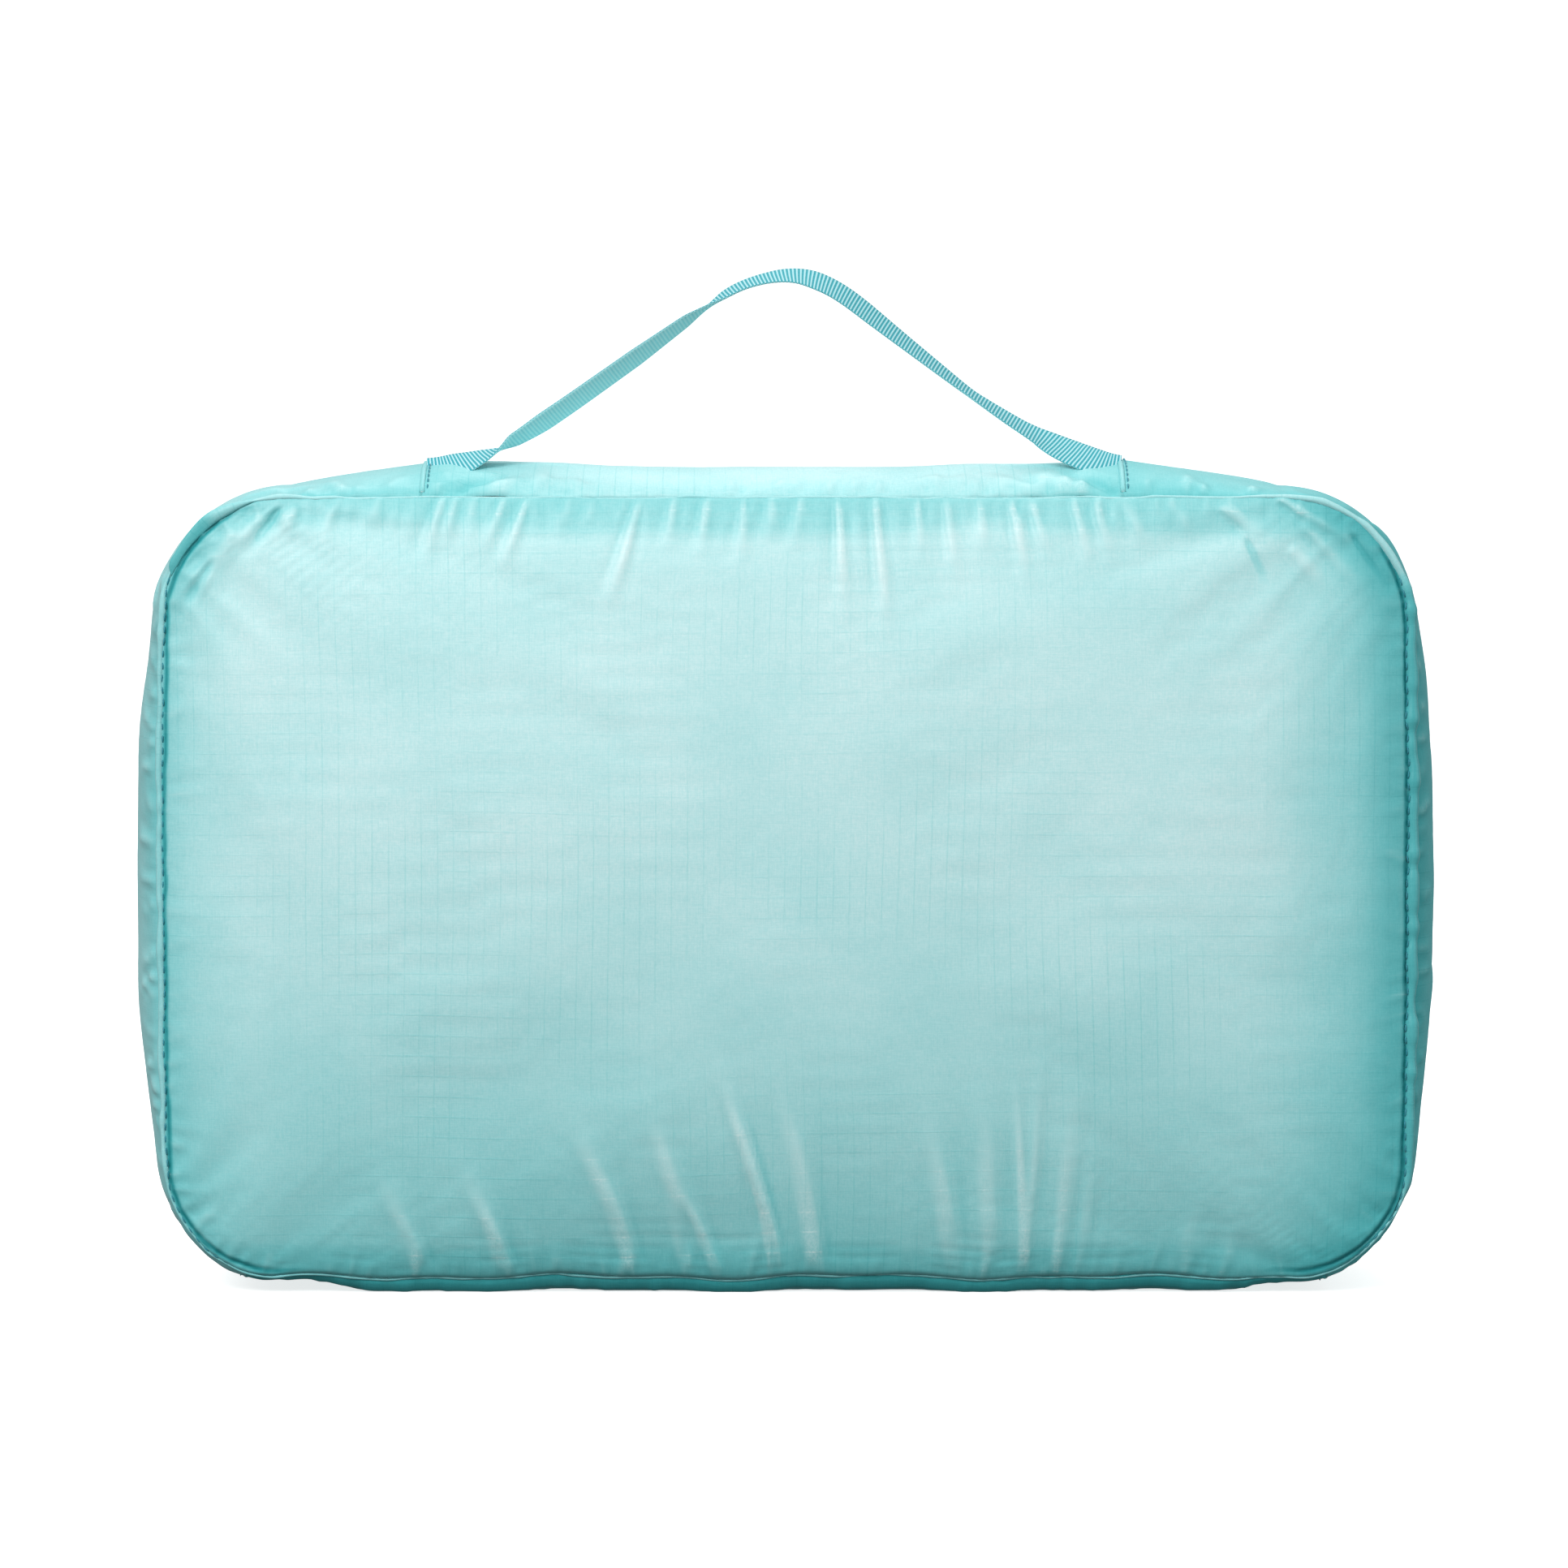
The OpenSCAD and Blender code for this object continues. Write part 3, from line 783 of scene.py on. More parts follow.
def panel_grid(u, v):
    """Flat points (x, z) within the seam: a Coons patch between its four sides, at u and v from 0 to 1."""
    def corner(x_sign, upper):
        r = TOP_R if upper else BOTTOM_R
        reach = r - r * math.sin(math.pi / 4)
        z = SEAM_HIGH - reach if upper else SEAM_LOW + reach
        return nearest((HALF_W - reach) * x_sign * bow_at(z), z)

    low_left, high_left = corner(-1, False), corner(-1, True)
    high_right, low_right = corner(1, True), corner(1, False)
    left = on_loop(low_left + (high_left - low_left) * v)[0]
    top = on_loop(high_left + (high_right - high_left) * u)[0]
    right = on_loop(low_right + (high_right - low_right) * v)[0]
    bottom = on_loop(low_left + LENGTH + (low_right - low_left - LENGTH) * u)[0]
    u, v = u[:, None, None], v[None, :, None]
    edges = (1 - v) * bottom[:, None] + v * top[:, None] + (1 - u) * left[None] + u * right[None]
    corners = ((1 - u) * (1 - v) * bottom[0] + u * (1 - v) * bottom[-1]
               + (1 - u) * v * top[0] + u * v * top[-1])
    return edges - corners


def resample(field, u0, v0, u1, v1):
    """A field on the grid u0 by v0, read on the grid u1 by v1."""
    rows = np.stack([np.stack([np.interp(u1, u0, field[:, j, k]) for j in range(len(v0))], 1)
                     for k in range(field.shape[2])], 2)
    return np.stack([np.stack([np.interp(v1, v0, rows[i, :, k]) for i in range(len(u1))])
                     for k in range(field.shape[2])], 2)


def distance_to_seam(p):
    """Distance of flat points from the seam, measured on the unbowed rounded rectangle."""
    x = abs(p[..., 0]) / bow_at(p[..., 1])
    z = p[..., 1] - MID_Z
    r = np.where(z > 0, TOP_R, BOTTOM_R)
    qx, qz = x - (HALF_W - r), abs(z) - (HALF_H - r)
    outside = np.hypot(np.maximum(qx, 0), np.maximum(qz, 0))
    return np.maximum(r - outside - np.minimum(np.maximum(qx, qz), 0), 0)


# Folds of the back panel: (x at the seam, x at the end, length down from the top seam, height) in mm.
TOP_FOLDS = [
    (-95, -99, 9, 0.35), (-87, -89, 8, 0.3), (-73, -77, 15, 0.6), (-70, -73, 12, 0.5), (-66, -67, 6, 0.3),
    (-60, -64, 12, 0.55), (-55, -61, 17, 0.6), (-46, -47, 7, 0.3), (-41, -41, 6, 0.3), (-31, -38, 25, 0.75),
    (-24, -25, 12, 0.5), (-17, -18, 14, 0.5), (-9, -9, 15, 0.55), (-3, -3, 8, 0.3), (3, 2, 12, 0.45),
    (11, 13, 28, 0.75), (19, 22, 32, 0.8), (28, 29, 14, 0.5), (34, 37, 19, 0.6), (41, 43, 13, 0.45),
    (48, 52, 20, 0.6), (52, 57, 15, 0.45), (61, 66, 17, 0.55), (66, 70, 15, 0.5), (72, 77, 12, 0.4),
    (82, 87, 9, 0.3), (94, 100, 9, 0.3),
]
# Folds up from the bottom seam: (x at the seam, x at the end, z at the end, height, width, bend) in mm.
BOTTOM_FOLDS = [
    (-78, -90, 32, 0.4, 2.6, 1.0), (-60, -72, 34, 0.5, 2.4, 1.0), (-33, -49, 46, 0.5, 2.6, 1.6),
    (-15, -32, 40, 0.5, 1.9, 1.6), (-22, -31, 52, 0.35, 2.1, 0.8), (-3, -18, 57, 0.7, 1.2, 2.2),
    (-1, -15, 46, 0.6, 1.0, 2.0), (6, -4, 54, 0.5, 2.6, 1.2), (35, 28, 48, 0.45, 2.6, 0.8),
    (43, 41, 51, 0.45, 2.4, 0.4), (50.5, 48, 57, 0.6, 1.1, 0.5), (51.5, 55, 56, 0.55, 1.1, -0.6),
    (58, 63, 54, 0.5, 2.0, -0.6), (63, 66, 42, 0.35, 1.7, -0.4), (84, 92, 28, 0.25, 2.6, -0.8),
]
# Creases of the spare cloth in the top corners: x, z at the start, x, z at the end, height and width in mm.
# A height below 0 is a valley.
CORNER_CREASES = [
    (-107.6, 168.5, -115.5, 157.7, -0.6, 1.1), (-104, 169, -110, 159, 0.4, 1.7),
    (-122, 157, -130.6, 144, -0.55, 1.1), (-117, 164, -126, 149, 0.55, 2.2),
    (-112, 167, -121, 155, 0.35, 1.6), (92, 169, 104, 161, 0.5, 1.5),
    (98, 162, 103, 150, -0.5, 1.3), (104, 171, 122, 160, 0.5, 1.2),
    (110, 165, 127, 147, 0.45, 1.7), (107, 160, 118, 150, 0.5, 2.4),
    (120, 163, 130, 149, -0.5, 1.0),
]
# Creases of the top gusset from the ends of the handle: x, y at the start, x, y at the end, height and
# width in mm. Some start beyond the seam, so that they are already high beside it.
TOP_CREASES = [
    (-75, -36, -46, -22, 1.0, 2.4), (-74, -31, -56, -20, -0.9, 1.6), (-52, -24, -34, -30, 0.5, 1.6),
    (-12, -34, 4, -22, 0.5, 1.8), (2, -36, 10, -26, 0.45, 1.4), (73, -37, 50, -21, 1.0, 2.4),
    (73, -31, 56, -18, -1.0, 1.8), (54, -30, 40, -20, 0.6, 1.8),
]


def gathers(p, seed, count=210, height=0.28 * MM):
    """Many short puckers all along the seam, pulled in by its thread."""
    draw = np.random.default_rng(seed)
    total = np.zeros(p.shape[:-1])
    stations = (np.arange(count) + draw.uniform(-0.35, 0.35, count)) * LENGTH / count
    start, normal = on_loop(stations)
    for k in range(count):
        length = draw.uniform(4, 13) * MM
        slant = draw.uniform(-0.35, 0.35)
        along = np.array([-normal[k][1], normal[k][0]])
        end = start[k] - length * (normal[k] + slant * along)
        total += ridge(p[..., 0], p[..., 1], start[k], end, height * draw.uniform(0.35, 1.0),
                       draw.uniform(0.9, 1.6) * MM)
    return total


def panel_folds(p, seed, shown):
    """Height of all folds over flat points p. shown adds the long folds of the back panel."""
    x, z = p[..., 0], p[..., 1]
    total = gathers(p, seed)
    if shown:
        for x0, x1, length, height in TOP_FOLDS:
            end = (x1 * MM, SEAM_HIGH - length * MM)
            total += ridge(x, z, (x0 * MM, SEAM_HIGH), end, height * MM, 1.25 * MM)
        for row in BOTTOM_FOLDS:
            x0, x1, z1, height, width, bend = (value * MM for value in row)
            total += ridge(x, z, (x0, SEAM_LOW), (x1, z1), height, width, bend)
            beside = (x1 + 0.7 * width, z1 - 9 * MM)
            narrow = max(0.45 * width, 0.95 * MM)
            total += ridge(x, z, (x0 + width, SEAM_LOW), beside, 0.4 * height, narrow, bend)
        total += creases_over(x, z, CORNER_CREASES)
    else:
        total += stray_folds(x, z, seed + 5)
    return total


def stray_folds(x, z, seed, count=46):
    """Long soft folds that start anywhere on the seam."""
    draw = np.random.default_rng(seed)
    total = np.zeros(x.shape)
    for _ in range(count):
        start, normal = on_loop(draw.uniform(0, LENGTH))
        length, slant = draw.uniform(10, 38) * MM, draw.uniform(-0.5, 0.5)
        end = start - length * (normal + slant * np.array([-normal[1], normal[0]]))
        total += ridge(x, z, start, end, draw.uniform(0.3, 0.7) * MM, draw.uniform(1.2, 2.4) * MM,
                       draw.uniform(-1.5, 1.5) * MM)
    return total


def crown_over(u, v):
    """Crown of a panel at grid places u and v from 0 to 1: full in the middle, round towards the seam."""
    a, b = 2 * u[:, None] - 1, 2 * v[None, :] - 1
    return CROWN * ((1 - abs(a) ** 3.2) * (1 - b**2)) ** 0.6


# Depth of the cloth's colour up the panel, as (z in mm, depth): deep where nothing fills it from behind,
# and deeper towards the bottom as painted shade, for the light from above that falls off downwards.
DEPTH_BY_HEIGHT = [
    (4, 4.0), (9, 3.4), (11.5, 2.7), (16, 2.5), (30, 2.05), (50, 1.75), (75, 1.42), (100, 1.28),
    (125, 1.25), (161.5, 1.35), (163.2, 1.6), (165.5, 2.25), (171, 2.6),
]


def colour_depth(flat):
    """Depth of colour over a panel: deep by the seams, towards the bottom and round the sides, in part as
    painted shade.
    """
    x, z = flat[..., 0], flat[..., 1]
    inset = distance_to_seam(flat)
    wave = value_noise(x, z, 15 * MM, 90) * 0.8 * MM + value_noise(x, z, 41 * MM, 91) * 1.1 * MM
    table = np.array(DEPTH_BY_HEIGHT)
    depth = np.interp((z + wave) / MM, table[:, 0], table[:, 1])
    # Deeper round the sides as painted shade, most on the right, away from the key light, and in the top
    # corners.
    left = ramp_up(-x, 112, 22) * (0.6 + 0.6 * ramp_down(inset, 0, 9))
    right = ramp_up(x, 98, 36) * (1.5 + 1.3 * ramp_down(inset, 2, 12))
    corner = ramp_up(abs(x), 106, 24) * ramp_up(z, 140, 22) * ramp_down(inset, 3, 13)
    return depth + left + right + 1.3 * corner


def seam_shadow(flat, wave):
    """Share of the painted shadow, a dark line that runs beside the seam, round the sides and the corners.
    """
    x, z = flat[..., 0], flat[..., 1]
    inset = distance_to_seam(flat)
    end = np.where(x < 0, 170 * MM, 162 * MM)
    sides = ramp_up(abs(x), 100, 18) * ramp_down(z - end, -7, 7)
    return bell(inset - wave, 1.0 * MM, 0.45 * MM) * sides


def panel_piece(name, side, seed, shown, body, node):
    """A crowned panel: the big shape settles on a coarse grid, and the finished grid adds the folds."""
    places = [(crowded(m, 0.2), crowded(n, 0.45)) for m, n in (COARSE, FINE)]
    grids = [panel_grid(u, v) for u, v in places]

    def surface(index):
        flat = grids[index]
        soft = value_noise(flat[..., 0], flat[..., 1], 34 * MM, seed) * 0.8 * MM
        soft += value_noise(flat[..., 0], flat[..., 1], 13 * MM, seed + 1) * 0.2 * MM
        height = crown_over(*places[index]) + soft * ramp_up(distance_to_seam(flat), 0, 18)
        height = height - 0.6 * MM * seam_shadow(flat, 0)
        return in_space(flat, side * (HALF_D + 0.1 * MM + height))

    coarse = surface(0)
    moved = settle(coarse, edge_pins(*coarse.shape[:2]), -PRESSURE * side, PANEL_PLAY) - coarse
    points = surface(1) + resample(moved, *places[0], *places[1])
    flat = grids[1]
    folds = panel_folds(flat, seed, shown)
    points[..., 1] += side * folds
    cloth = np.concatenate([flat, distance_to_seam(flat)[..., None]], -1)
    crest = np.clip(folds / PANEL_CREST, -1, 1)
    wave = value_noise(flat[..., 0], flat[..., 1], 4 * MM, 17) * 0.25 * MM
    # Fold crests for a painted highlight, depth of colour with painted shade, and the painted shadow beside
    # the seam.
    tone = np.stack([crest, colour_depth(flat), seam_shadow(flat, wave)], -1)
    obj = cloth_shell(name, points, cloth, tone, flip=side == LID)
    finish_piece(obj, RIPSTOP, "ripstop", body, node)
    return obj


# ---------------------------------------------------------------- gussets
def gusset_point(s, y, full, extra=0.0):
    """Place of the gusset's outer face at arc length s and depth y, raised by extra.

    A full gusset swells over the whole depth of the cube, and any other only as far as the zip. Near the
    floor the swelling is steeper, because the weight presses the cloth flat.
    """
    p, normal = on_loop(s)
    side_share = np.where(y < GUSSET_Y, swell(np.minimum(y, GUSSET_Y), -HALF_D, GUSSET_Y), 0)
    if full:
        wide = ramp_down(abs(p[..., 0]) - HALF_W * (1 - BOW) + BOTTOM_R, -20, 24)
        share = side_share * (1 - wide) + swell(y, -HALF_D, HALF_D) * wide
    else:
        share = side_share
    share = share ** (1 - 0.6 * ramp_down(p[..., 1], 8, 12))
    q = p + normal * (bulge(p) * share + extra)[..., None]
    q[..., 1] = np.maximum(q[..., 1], FLOOR_GAP)
    return in_space(q, y)


def gusset_folds(s, y, y0, y1, seed, ends):
    """Puckers that run across the gusset from both of its seams, and slack wrinkles between them."""
    draw = np.random.default_rng(seed)
    total = np.zeros(s.shape)
    span, pitch = ends[1] - ends[0], 5.5 * MM
    count = int(span / pitch)
    for edge, way in ((y0, 1), (y1, -1)):
        for k in range(count):
            start = (ends[0] + (k + draw.uniform(0, 1)) * span / count, edge)
            length = draw.uniform(4, 15) * MM
            end = (start[0] + draw.uniform(-0.45, 0.45) * length, edge + way * length)
            total += ridge(s, y, start, end, draw.uniform(0.25, 0.8) * MM, draw.uniform(0.9, 1.7) * MM)
    for _ in range(max(2, int(span / (40 * MM)))):
        start = (draw.uniform(ends[0], ends[1]), draw.uniform(y0, y1))
        angle = draw.uniform(-1.2, 1.2)
        length = draw.uniform(12, 26) * MM
        end = (start[0] + math.cos(angle) * length, start[1] + math.sin(angle) * length)
        total += ridge(s, y, start, end, draw.uniform(0.3, 0.7) * MM, 2.2 * MM)
    return total + value_noise(s, y, 15 * MM, seed + 3) * 0.35 * MM


def gusset_piece(name, s0, s1, y1, seed, node, depth, ends=0.0, sides=0.0, material=RIPSTOP, creases=()):
    """A gusset from arc length s0 to s1 and from the back seam to depth y1.

    Its colour has the given depth, and more by ends at its two ends and by sides at the sides of the cube,
    as painted shade. It is also deeper near its edges, as painted shade by the seams.
    """
    full = y1 > GUSSET_Y
    m, n = int((s1 - s0) / (1.7 * MM)), int((y1 + HALF_D) / (1.6 * MM))
    s, y = np.meshgrid(np.linspace(s0, s1, m), np.linspace(-HALF_D, y1, n), indexing="ij")
    calm = np.minimum(y + HALF_D, y1 - y)
    fade = ramp_up(calm, -1, 3) * ramp_up(np.minimum(s - s0, s1 - s), 0, 2)
    place = on_loop(s)[0]
    fade = fade * (0.3 + 0.7 * ramp_up(place[..., 1], 12, 28))
    folds = gusset_folds(s, y, -HALF_D, y1, seed, (s0, s1))
    folds = (folds + creases_over(place[..., 0], y, creases)) * fade
    points = gusset_point(s, y, full, folds)
    points = settle(points, edge_pins(m, n), PRESSURE, GUSSET_PLAY, 10)
    points[..., 2] = np.maximum(points[..., 2], FLOOR_GAP)
    points, s, y, folds = refine(points), refine(s), refine(y), refine(folds)
    edge = np.minimum(np.minimum(y + HALF_D, y1 - y), np.minimum(s - s0, s1 - s) + 1 * MM)
    # Painted shade at the two ends and at the sides of the cube.
    depth = depth + ends * ease((abs(2 * s - s0 - s1) / (s1 - s0) - 0.62) / 0.36)
    depth = depth + sides * ramp_up(abs(on_loop(s)[0][..., 0]), 98, 38)
    # Deeper within 9 mm of the edges as painted shade by the seams, with a random tone on top.
    tint = depth + 0.5 * ramp_down(edge, 0, 9) + value_noise(s, y, 19 * MM, seed + 6) * 0.25
    tone = np.stack([np.clip(folds / GUSSET_CREST, -1, 1), tint, edge * 0], -1)
    obj = cloth_shell(name, points, np.stack([s, y, np.maximum(edge, 0)], -1), tone)
    finish_piece(obj, material, "ripstop", "body", node)


# ---------------------------------------------------------------- seams, bindings and stitches
# Radius of the rolled edge of a panel seam, before it is made fatter or thinner along its way.
ROLL_R = 0.95 * MM
# The stitches of a panel seam show between these heights.
STITCH_LOW, STITCH_TOP = SEAM_LOW + 1.5 * MM, 155 * MM


def seam_roll(name, side, body):
    """The rolled edge of a panel seam, fatter at the sides than along the top, with two rows of stitches.

    On the back seam, cord is the thick right edge, which has a knot in it, and the roll is thin where it is
    tucked under the corner fold.
    """
    s = np.arange(0, LENGTH, 0.9 * MM)
    p, normal = on_loop(s)
    wave = waver(s, 5 * MM, 30 + side) * 0.22 * MM + waver(s, 17 * MM, 33) * 0.2 * MM
    x, z = p[:, 0], p[:, 1]
    calm_top = ramp_up(abs(x), 92, 22)
    top = z > MID_Z + 0.8 * HALF_H
    fat = np.where(top, 0.36 + 0.45 * calm_top, 0.3 + 0.55 * ramp_up(z, 14, 24))
    cord = ramp_up(x, 128, 5) * ramp_up(z, 18, 10) * ramp_down(z, 148, 8) * (side == BACK)
    knot = bell(z, 123 * MM, 1.6 * MM) * cord
    lumps = waver(s, 8 * MM, 36) * 0.15 * MM + waver(s, 2.6 * MM, 37) * 0.22 * MM
    tucked = ramp_up(-x, 106, 8) * ramp_up(z, 148, 6) * (side == BACK)
    radius = (ROLL_R + lumps) * (fat + 0.55 * cord + 0.5 * knot) * (1 - 0.6 * tucked)
    q = p + normal * (wave + 0.1 * MM + 0.3 * MM * cord - 0.3 * MM * (top * (1 - calm_top)))[:, None]
    sunk = ramp_down(z, 6, 8) * 0.3 * MM
    path = in_space(q, side * (HALF_D + 0.15 * MM - sunk) + wave * 0.6)
    path[:, 2] = np.maximum(path[:, 2], 1.2 * MM)
    up = (0, side, 0)
    # Deeper towards the bottom as painted shade, and deeper along the thick right cord.
    depth = np.where(top, 1.9, 2.4) + 2.4 * cord + 0.4 * ramp_down(z, 10, 24)
    obj = sweep(name, path, up, round_profile(radius * 0.95, radius), closed=True, depth=depth)
    finish_piece(obj, RIPSTOP, "ripstop", body)
    stitch_path = in_space(q - normal * (0.78 * radius)[:, None], path[:, 1] + side * 0.7 * radius)
    for end, way in (("left", -1), ("right", 1)):
        rows = (x * way > 0) & (z > STITCH_LOW) & (z < STITCH_TOP)
        stitches = stitch_row(name.replace("roll", "stitches_") + end, stitch_path[rows], up)
        finish_piece(stitches, THREAD, "binding", body)


def corner_fold():
    """Spare gusset cloth at the top left corner: a flat tuck round the bend that ends in a rounded roll."""
    s = np.arange(nearest(-132 * MM, 154 * MM), nearest(-112 * MM, SEAM_HIGH), 0.3 * MM)
    p, normal = on_loop(s)
    t = np.linspace(0, 1, len(s))
    roll = ease((t - 0.45) / 0.2)
    ends = (ease(t / 0.12) * ease((1 - t) / 0.3)) ** 0.6
    width = (1.15 + 0.2 * np.sin(3 + 9 * t)) * MM * np.maximum(ends, 0.04)
    height = (0.3 + 0.55 * roll) * MM * np.maximum(ends, 0.04)
    pleat = waver(s, 4 * MM, 63) * 0.2 * MM
    q = p + normal * (0.55 * width + pleat)[:, None]
    path = in_space(q, -HALF_D - 0.5 * MM - 0.3 * height)
    profile = round_profile(width, height, 12)
    obj = sweep("corner_fold_left", path, (0, BACK, 0), profile, depth=4.4 - 2.0 * roll)
    finish_piece(obj, RIPSTOP, "ripstop", "body")


def folded_tape(width, thick):
    """Cross-section of a binding folded over a seam allowance: a flat oval, thinner in the middle."""
    w, t = width / 2, thick / 2
    return np.array([(-w, 0), (-w + t, -t), (-w / 3, -t * 0.8), (w / 3, -t * 0.85), (w - t, -t), (w, 0),
                     (w - t, t), (w / 3, t * 0.8), (-w / 3, t * 0.85), (-w + t, t)])


def loop_path(s, inset, y):
    """A path inside the seam outline by inset, at depth y."""
    p, normal = on_loop(s)
    return in_space(p - normal * inset, y)


def binding_ring(name, side, body, node):
    """The bound seam allowance stands inwards from the seam and waves a little."""
    low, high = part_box(node)
    width, thick, inset = 6.2 * MM, 1.0 * MM, 1.3 * MM
    inwards = (0, -side, 0)
    s = np.arange(0, LENGTH, 2 * MM)
    wave = waver(s, 21 * MM, 50 + side) * 0.5 * MM
    y = (low[1] + high[1]) / 2 - side * (0.25 * MM + abs(wave))
    path = loop_path(s, inset + width / 2, y)
    obj = sweep(name, path, inwards, folded_tape(width, thick), closed=True)
    finish_piece(obj, BINDING, "binding", body, node)
    row = loop_path(s, inset + width - 1.2 * MM, y - side * (thick / 2 - 0.05 * MM))
    finish_piece(stitch_row(name + "_stitches", row, inwards), THREAD, "binding", body)


def outwards(s):
    """The direction in space that faces out of the cube at one arc length."""
    x, z = on_loop(s)[1]
    return x, 0, z


def cross_binding(name, s_at, node):
    """Bound allowance of a seam across the gusset, inside the cube."""
    y = np.arange(-HALF_D + 2.5 * MM, GUSSET_Y - 1.5 * MM, 1.5 * MM)
    path = gusset_point(np.full(len(y), s_at), y, False, -1.9 * MM)
    obj = sweep(name, path, outwards(s_at), folded_tape(5 * MM, 0.9 * MM))
    finish_piece(obj, BINDING, "binding", "body", node)


def base_binding():
    """Binding tape on the allowance of the base-to-lid seam, which lies flat inside the base gusset."""
    low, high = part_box("base_seam_binding")
    x = np.linspace(high[0], low[0], 120)
    y, z = (low[1] + high[1]) / 2, (low[2] + high[2]) / 2
    path = np.stack([x, np.full(len(x), y), z + waver(x, 18 * MM, 80) * 0.25 * MM], 1)
    obj = sweep("base_seam_tape", path, (0, 0, 1), folded_tape(high[1] - low[1], 0.9 * MM))
    finish_piece(obj, BINDING, "binding", "body", "base_seam_binding")


def cross_seam(name, s_at, at_handle):
    """The outside of a cross seam: a fine raised fold with a row of stitches beside it."""
    first, lift = (0.8 * MM, 0.1 * MM) if at_handle else (3.5 * MM, -0.1 * MM)
    y = np.arange(-HALF_D + first, GUSSET_Y - 0.5 * MM, 0.8 * MM)
    s = np.full(len(y), s_at)
    up = outwards(s_at)
    path = gusset_point(s, y, False, lift + waver(y, 6 * MM, 60) * 0.12 * MM)
    fold = sweep(name, path, up, round_profile(0.6 * MM, 0.4 * MM, 8), depth=2.8)
    finish_piece(fold, RIPSTOP, "ripstop", "body")
    beside = gusset_point(s + 1.1 * MM, y, False, lift + 0.15 * MM)
    finish_piece(stitch_row(name + "_stitches", beside, up), THREAD, "binding", "body")


# ---------------------------------------------------------------- zip
def zip_band(name, node, body, seed):
    """One side's zip tape, which bows and waves a little between its edges."""
    low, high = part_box(node)
    gap = 0.3 * MM
    s, y = np.meshgrid(np.linspace(S_BASE_LEFT + gap, S_BASE_RIGHT - gap, 401),
                       np.linspace(low[1], high[1], 9), indexing="ij")
    p, normal = on_loop(s)
    middle = 1 - ((2 * y - low[1] - high[1]) / (high[1] - low[1])) ** 2
    lift = (waver(s, 14 * MM, seed) * 0.18 * MM + 0.12 * MM) * middle
    points = in_space(p + normal * lift[..., None], y)
    cloth = np.stack([s, y, np.full(s.shape, 10 * MM)], -1)
    obj = cloth_shell(name, points, cloth, thickness=0.55 * MM)
    finish_piece(obj, ZIP_TAPE, "zip_tape", body, node)


def coil_row(name, node, body, way, phase):
    """A nylon coil: a bent loop for each tooth, which reaches over the middle line into the other row."""
    low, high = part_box(node)
    root = low[1] if way > 0 else high[1]
    reach = abs(high[1] - low[1]) + 0.75 * MM
    pitch, radius, half_t = 1.3 * MM, 0.26 * MM, 0.58 * MM
    turns = np.arange(S_BASE_LEFT + 2 * MM + phase * pitch, S_BASE_RIGHT - 2 * MM, pitch)
    a = np.linspace(-0.5 * math.pi, 0.5 * math.pi, 5)
    loop_y = np.concatenate([[0], reach - half_t + half_t * np.cos(a), [0]])
    loop_n = np.concatenate([[-half_t], half_t * np.sin(a), [half_t]])
    lean = np.linspace(-0.25, 0.25, len(loop_y)) * pitch
    parts = []
    for s in turns:
        (x, z), (nx, nz) = on_loop(s)
        along, out = np.array([nz, 0, -nx]), np.array([nx, 0, nz])
        centre = np.array([x, root, z]) - out * 0.3 * MM
        across = way * loop_y[:, None] * np.array([0, 1, 0])
        path = centre + across + loop_n[:, None] * out + lean[:, None] * along
        t = unit(np.gradient(path, axis=0))
        b = unit(np.cross(t, along))
        parts.append(tube(path, b, np.cross(b, t), radius))
    obj = join_parts(name, parts)
    finish_piece(obj, COIL, "zip_coil", body, node)


def end_stop(name, node):
    """A small metal clamp round the end of the coil: a rounded, slightly pillowed block."""
    low, high = (np.array(v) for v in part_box(node))
    centre, half = (low + high) / 2, (high - low) / 2
    a, b = np.meshgrid(np.linspace(-math.pi, math.pi, 25), np.linspace(-math.pi / 2, math.pi / 2, 13),
                       indexing="ij")

    def squared(v, roundness=0.35):
        return np.sign(v) * np.abs(v) ** roundness

    rim = squared(np.cos(b))
    shape = np.stack([rim * squared(np.cos(a)), rim * squared(np.sin(a)), squared(np.sin(b))], -1)
    obj = make_object(name, centre + shape * half * 0.98, grid_faces(*a.shape))
    merge_close(obj)
    finish_piece(obj, METAL, "zip_metal", "body", node)


# ---------------------------------------------------------------- handle
# Depth of the strap's middle line.
HANDLE_Y = (HANDLE_LOW[1] + HANDLE_HIGH[1]) / 2
# The strap's middle line, as (x, height above the top seam) in mm.
ARCH = [
    (-77, 4.6), (-71, 6.2), (-65, 8.2), (-57, 12.2), (-47, 18.9), (-30, 30.9), (-17, 40.4), (-10, 45),
    (0, 47.4), (6, 46.4), (12, 43.4), (22, 35.4), (40, 21.4), (51, 14.2), (59, 9.9), (66, 7.2), (73, 4.8),
]
# The webbing's width and thickness, and the spacing of its ribs with the steps that draw each.
WEB_W, WEB_T = 10 * MM, 1.0 * MM
RIB, STEPS_PER_RIB = 0.8 * MM, 6
# Tilt of the strap's width in degrees along x in mm: positive shows its ribbed outer face to the front.
TILT = [
    (-77, 34), (-70, 26), (-64, 8), (-59, -12), (-52, -18), (-32, -17), (-21, -11), (-13, 7),
    (-4, 12), (6, 22), (18, 18), (30, 12), (40, 7), (51, 13), (61, 26), (73, 34),
]
# How far the strap's edges curl up across its width.
CURL = 0.35 * MM


def smoothed(values, reach):
    """Values with a moving average over reach neighbours on each side, weighted to the middle."""
    weights = np.hanning(2 * reach + 1)
    return np.convolve(np.pad(values, reach, mode="edge"), weights / weights.sum(), mode="valid")


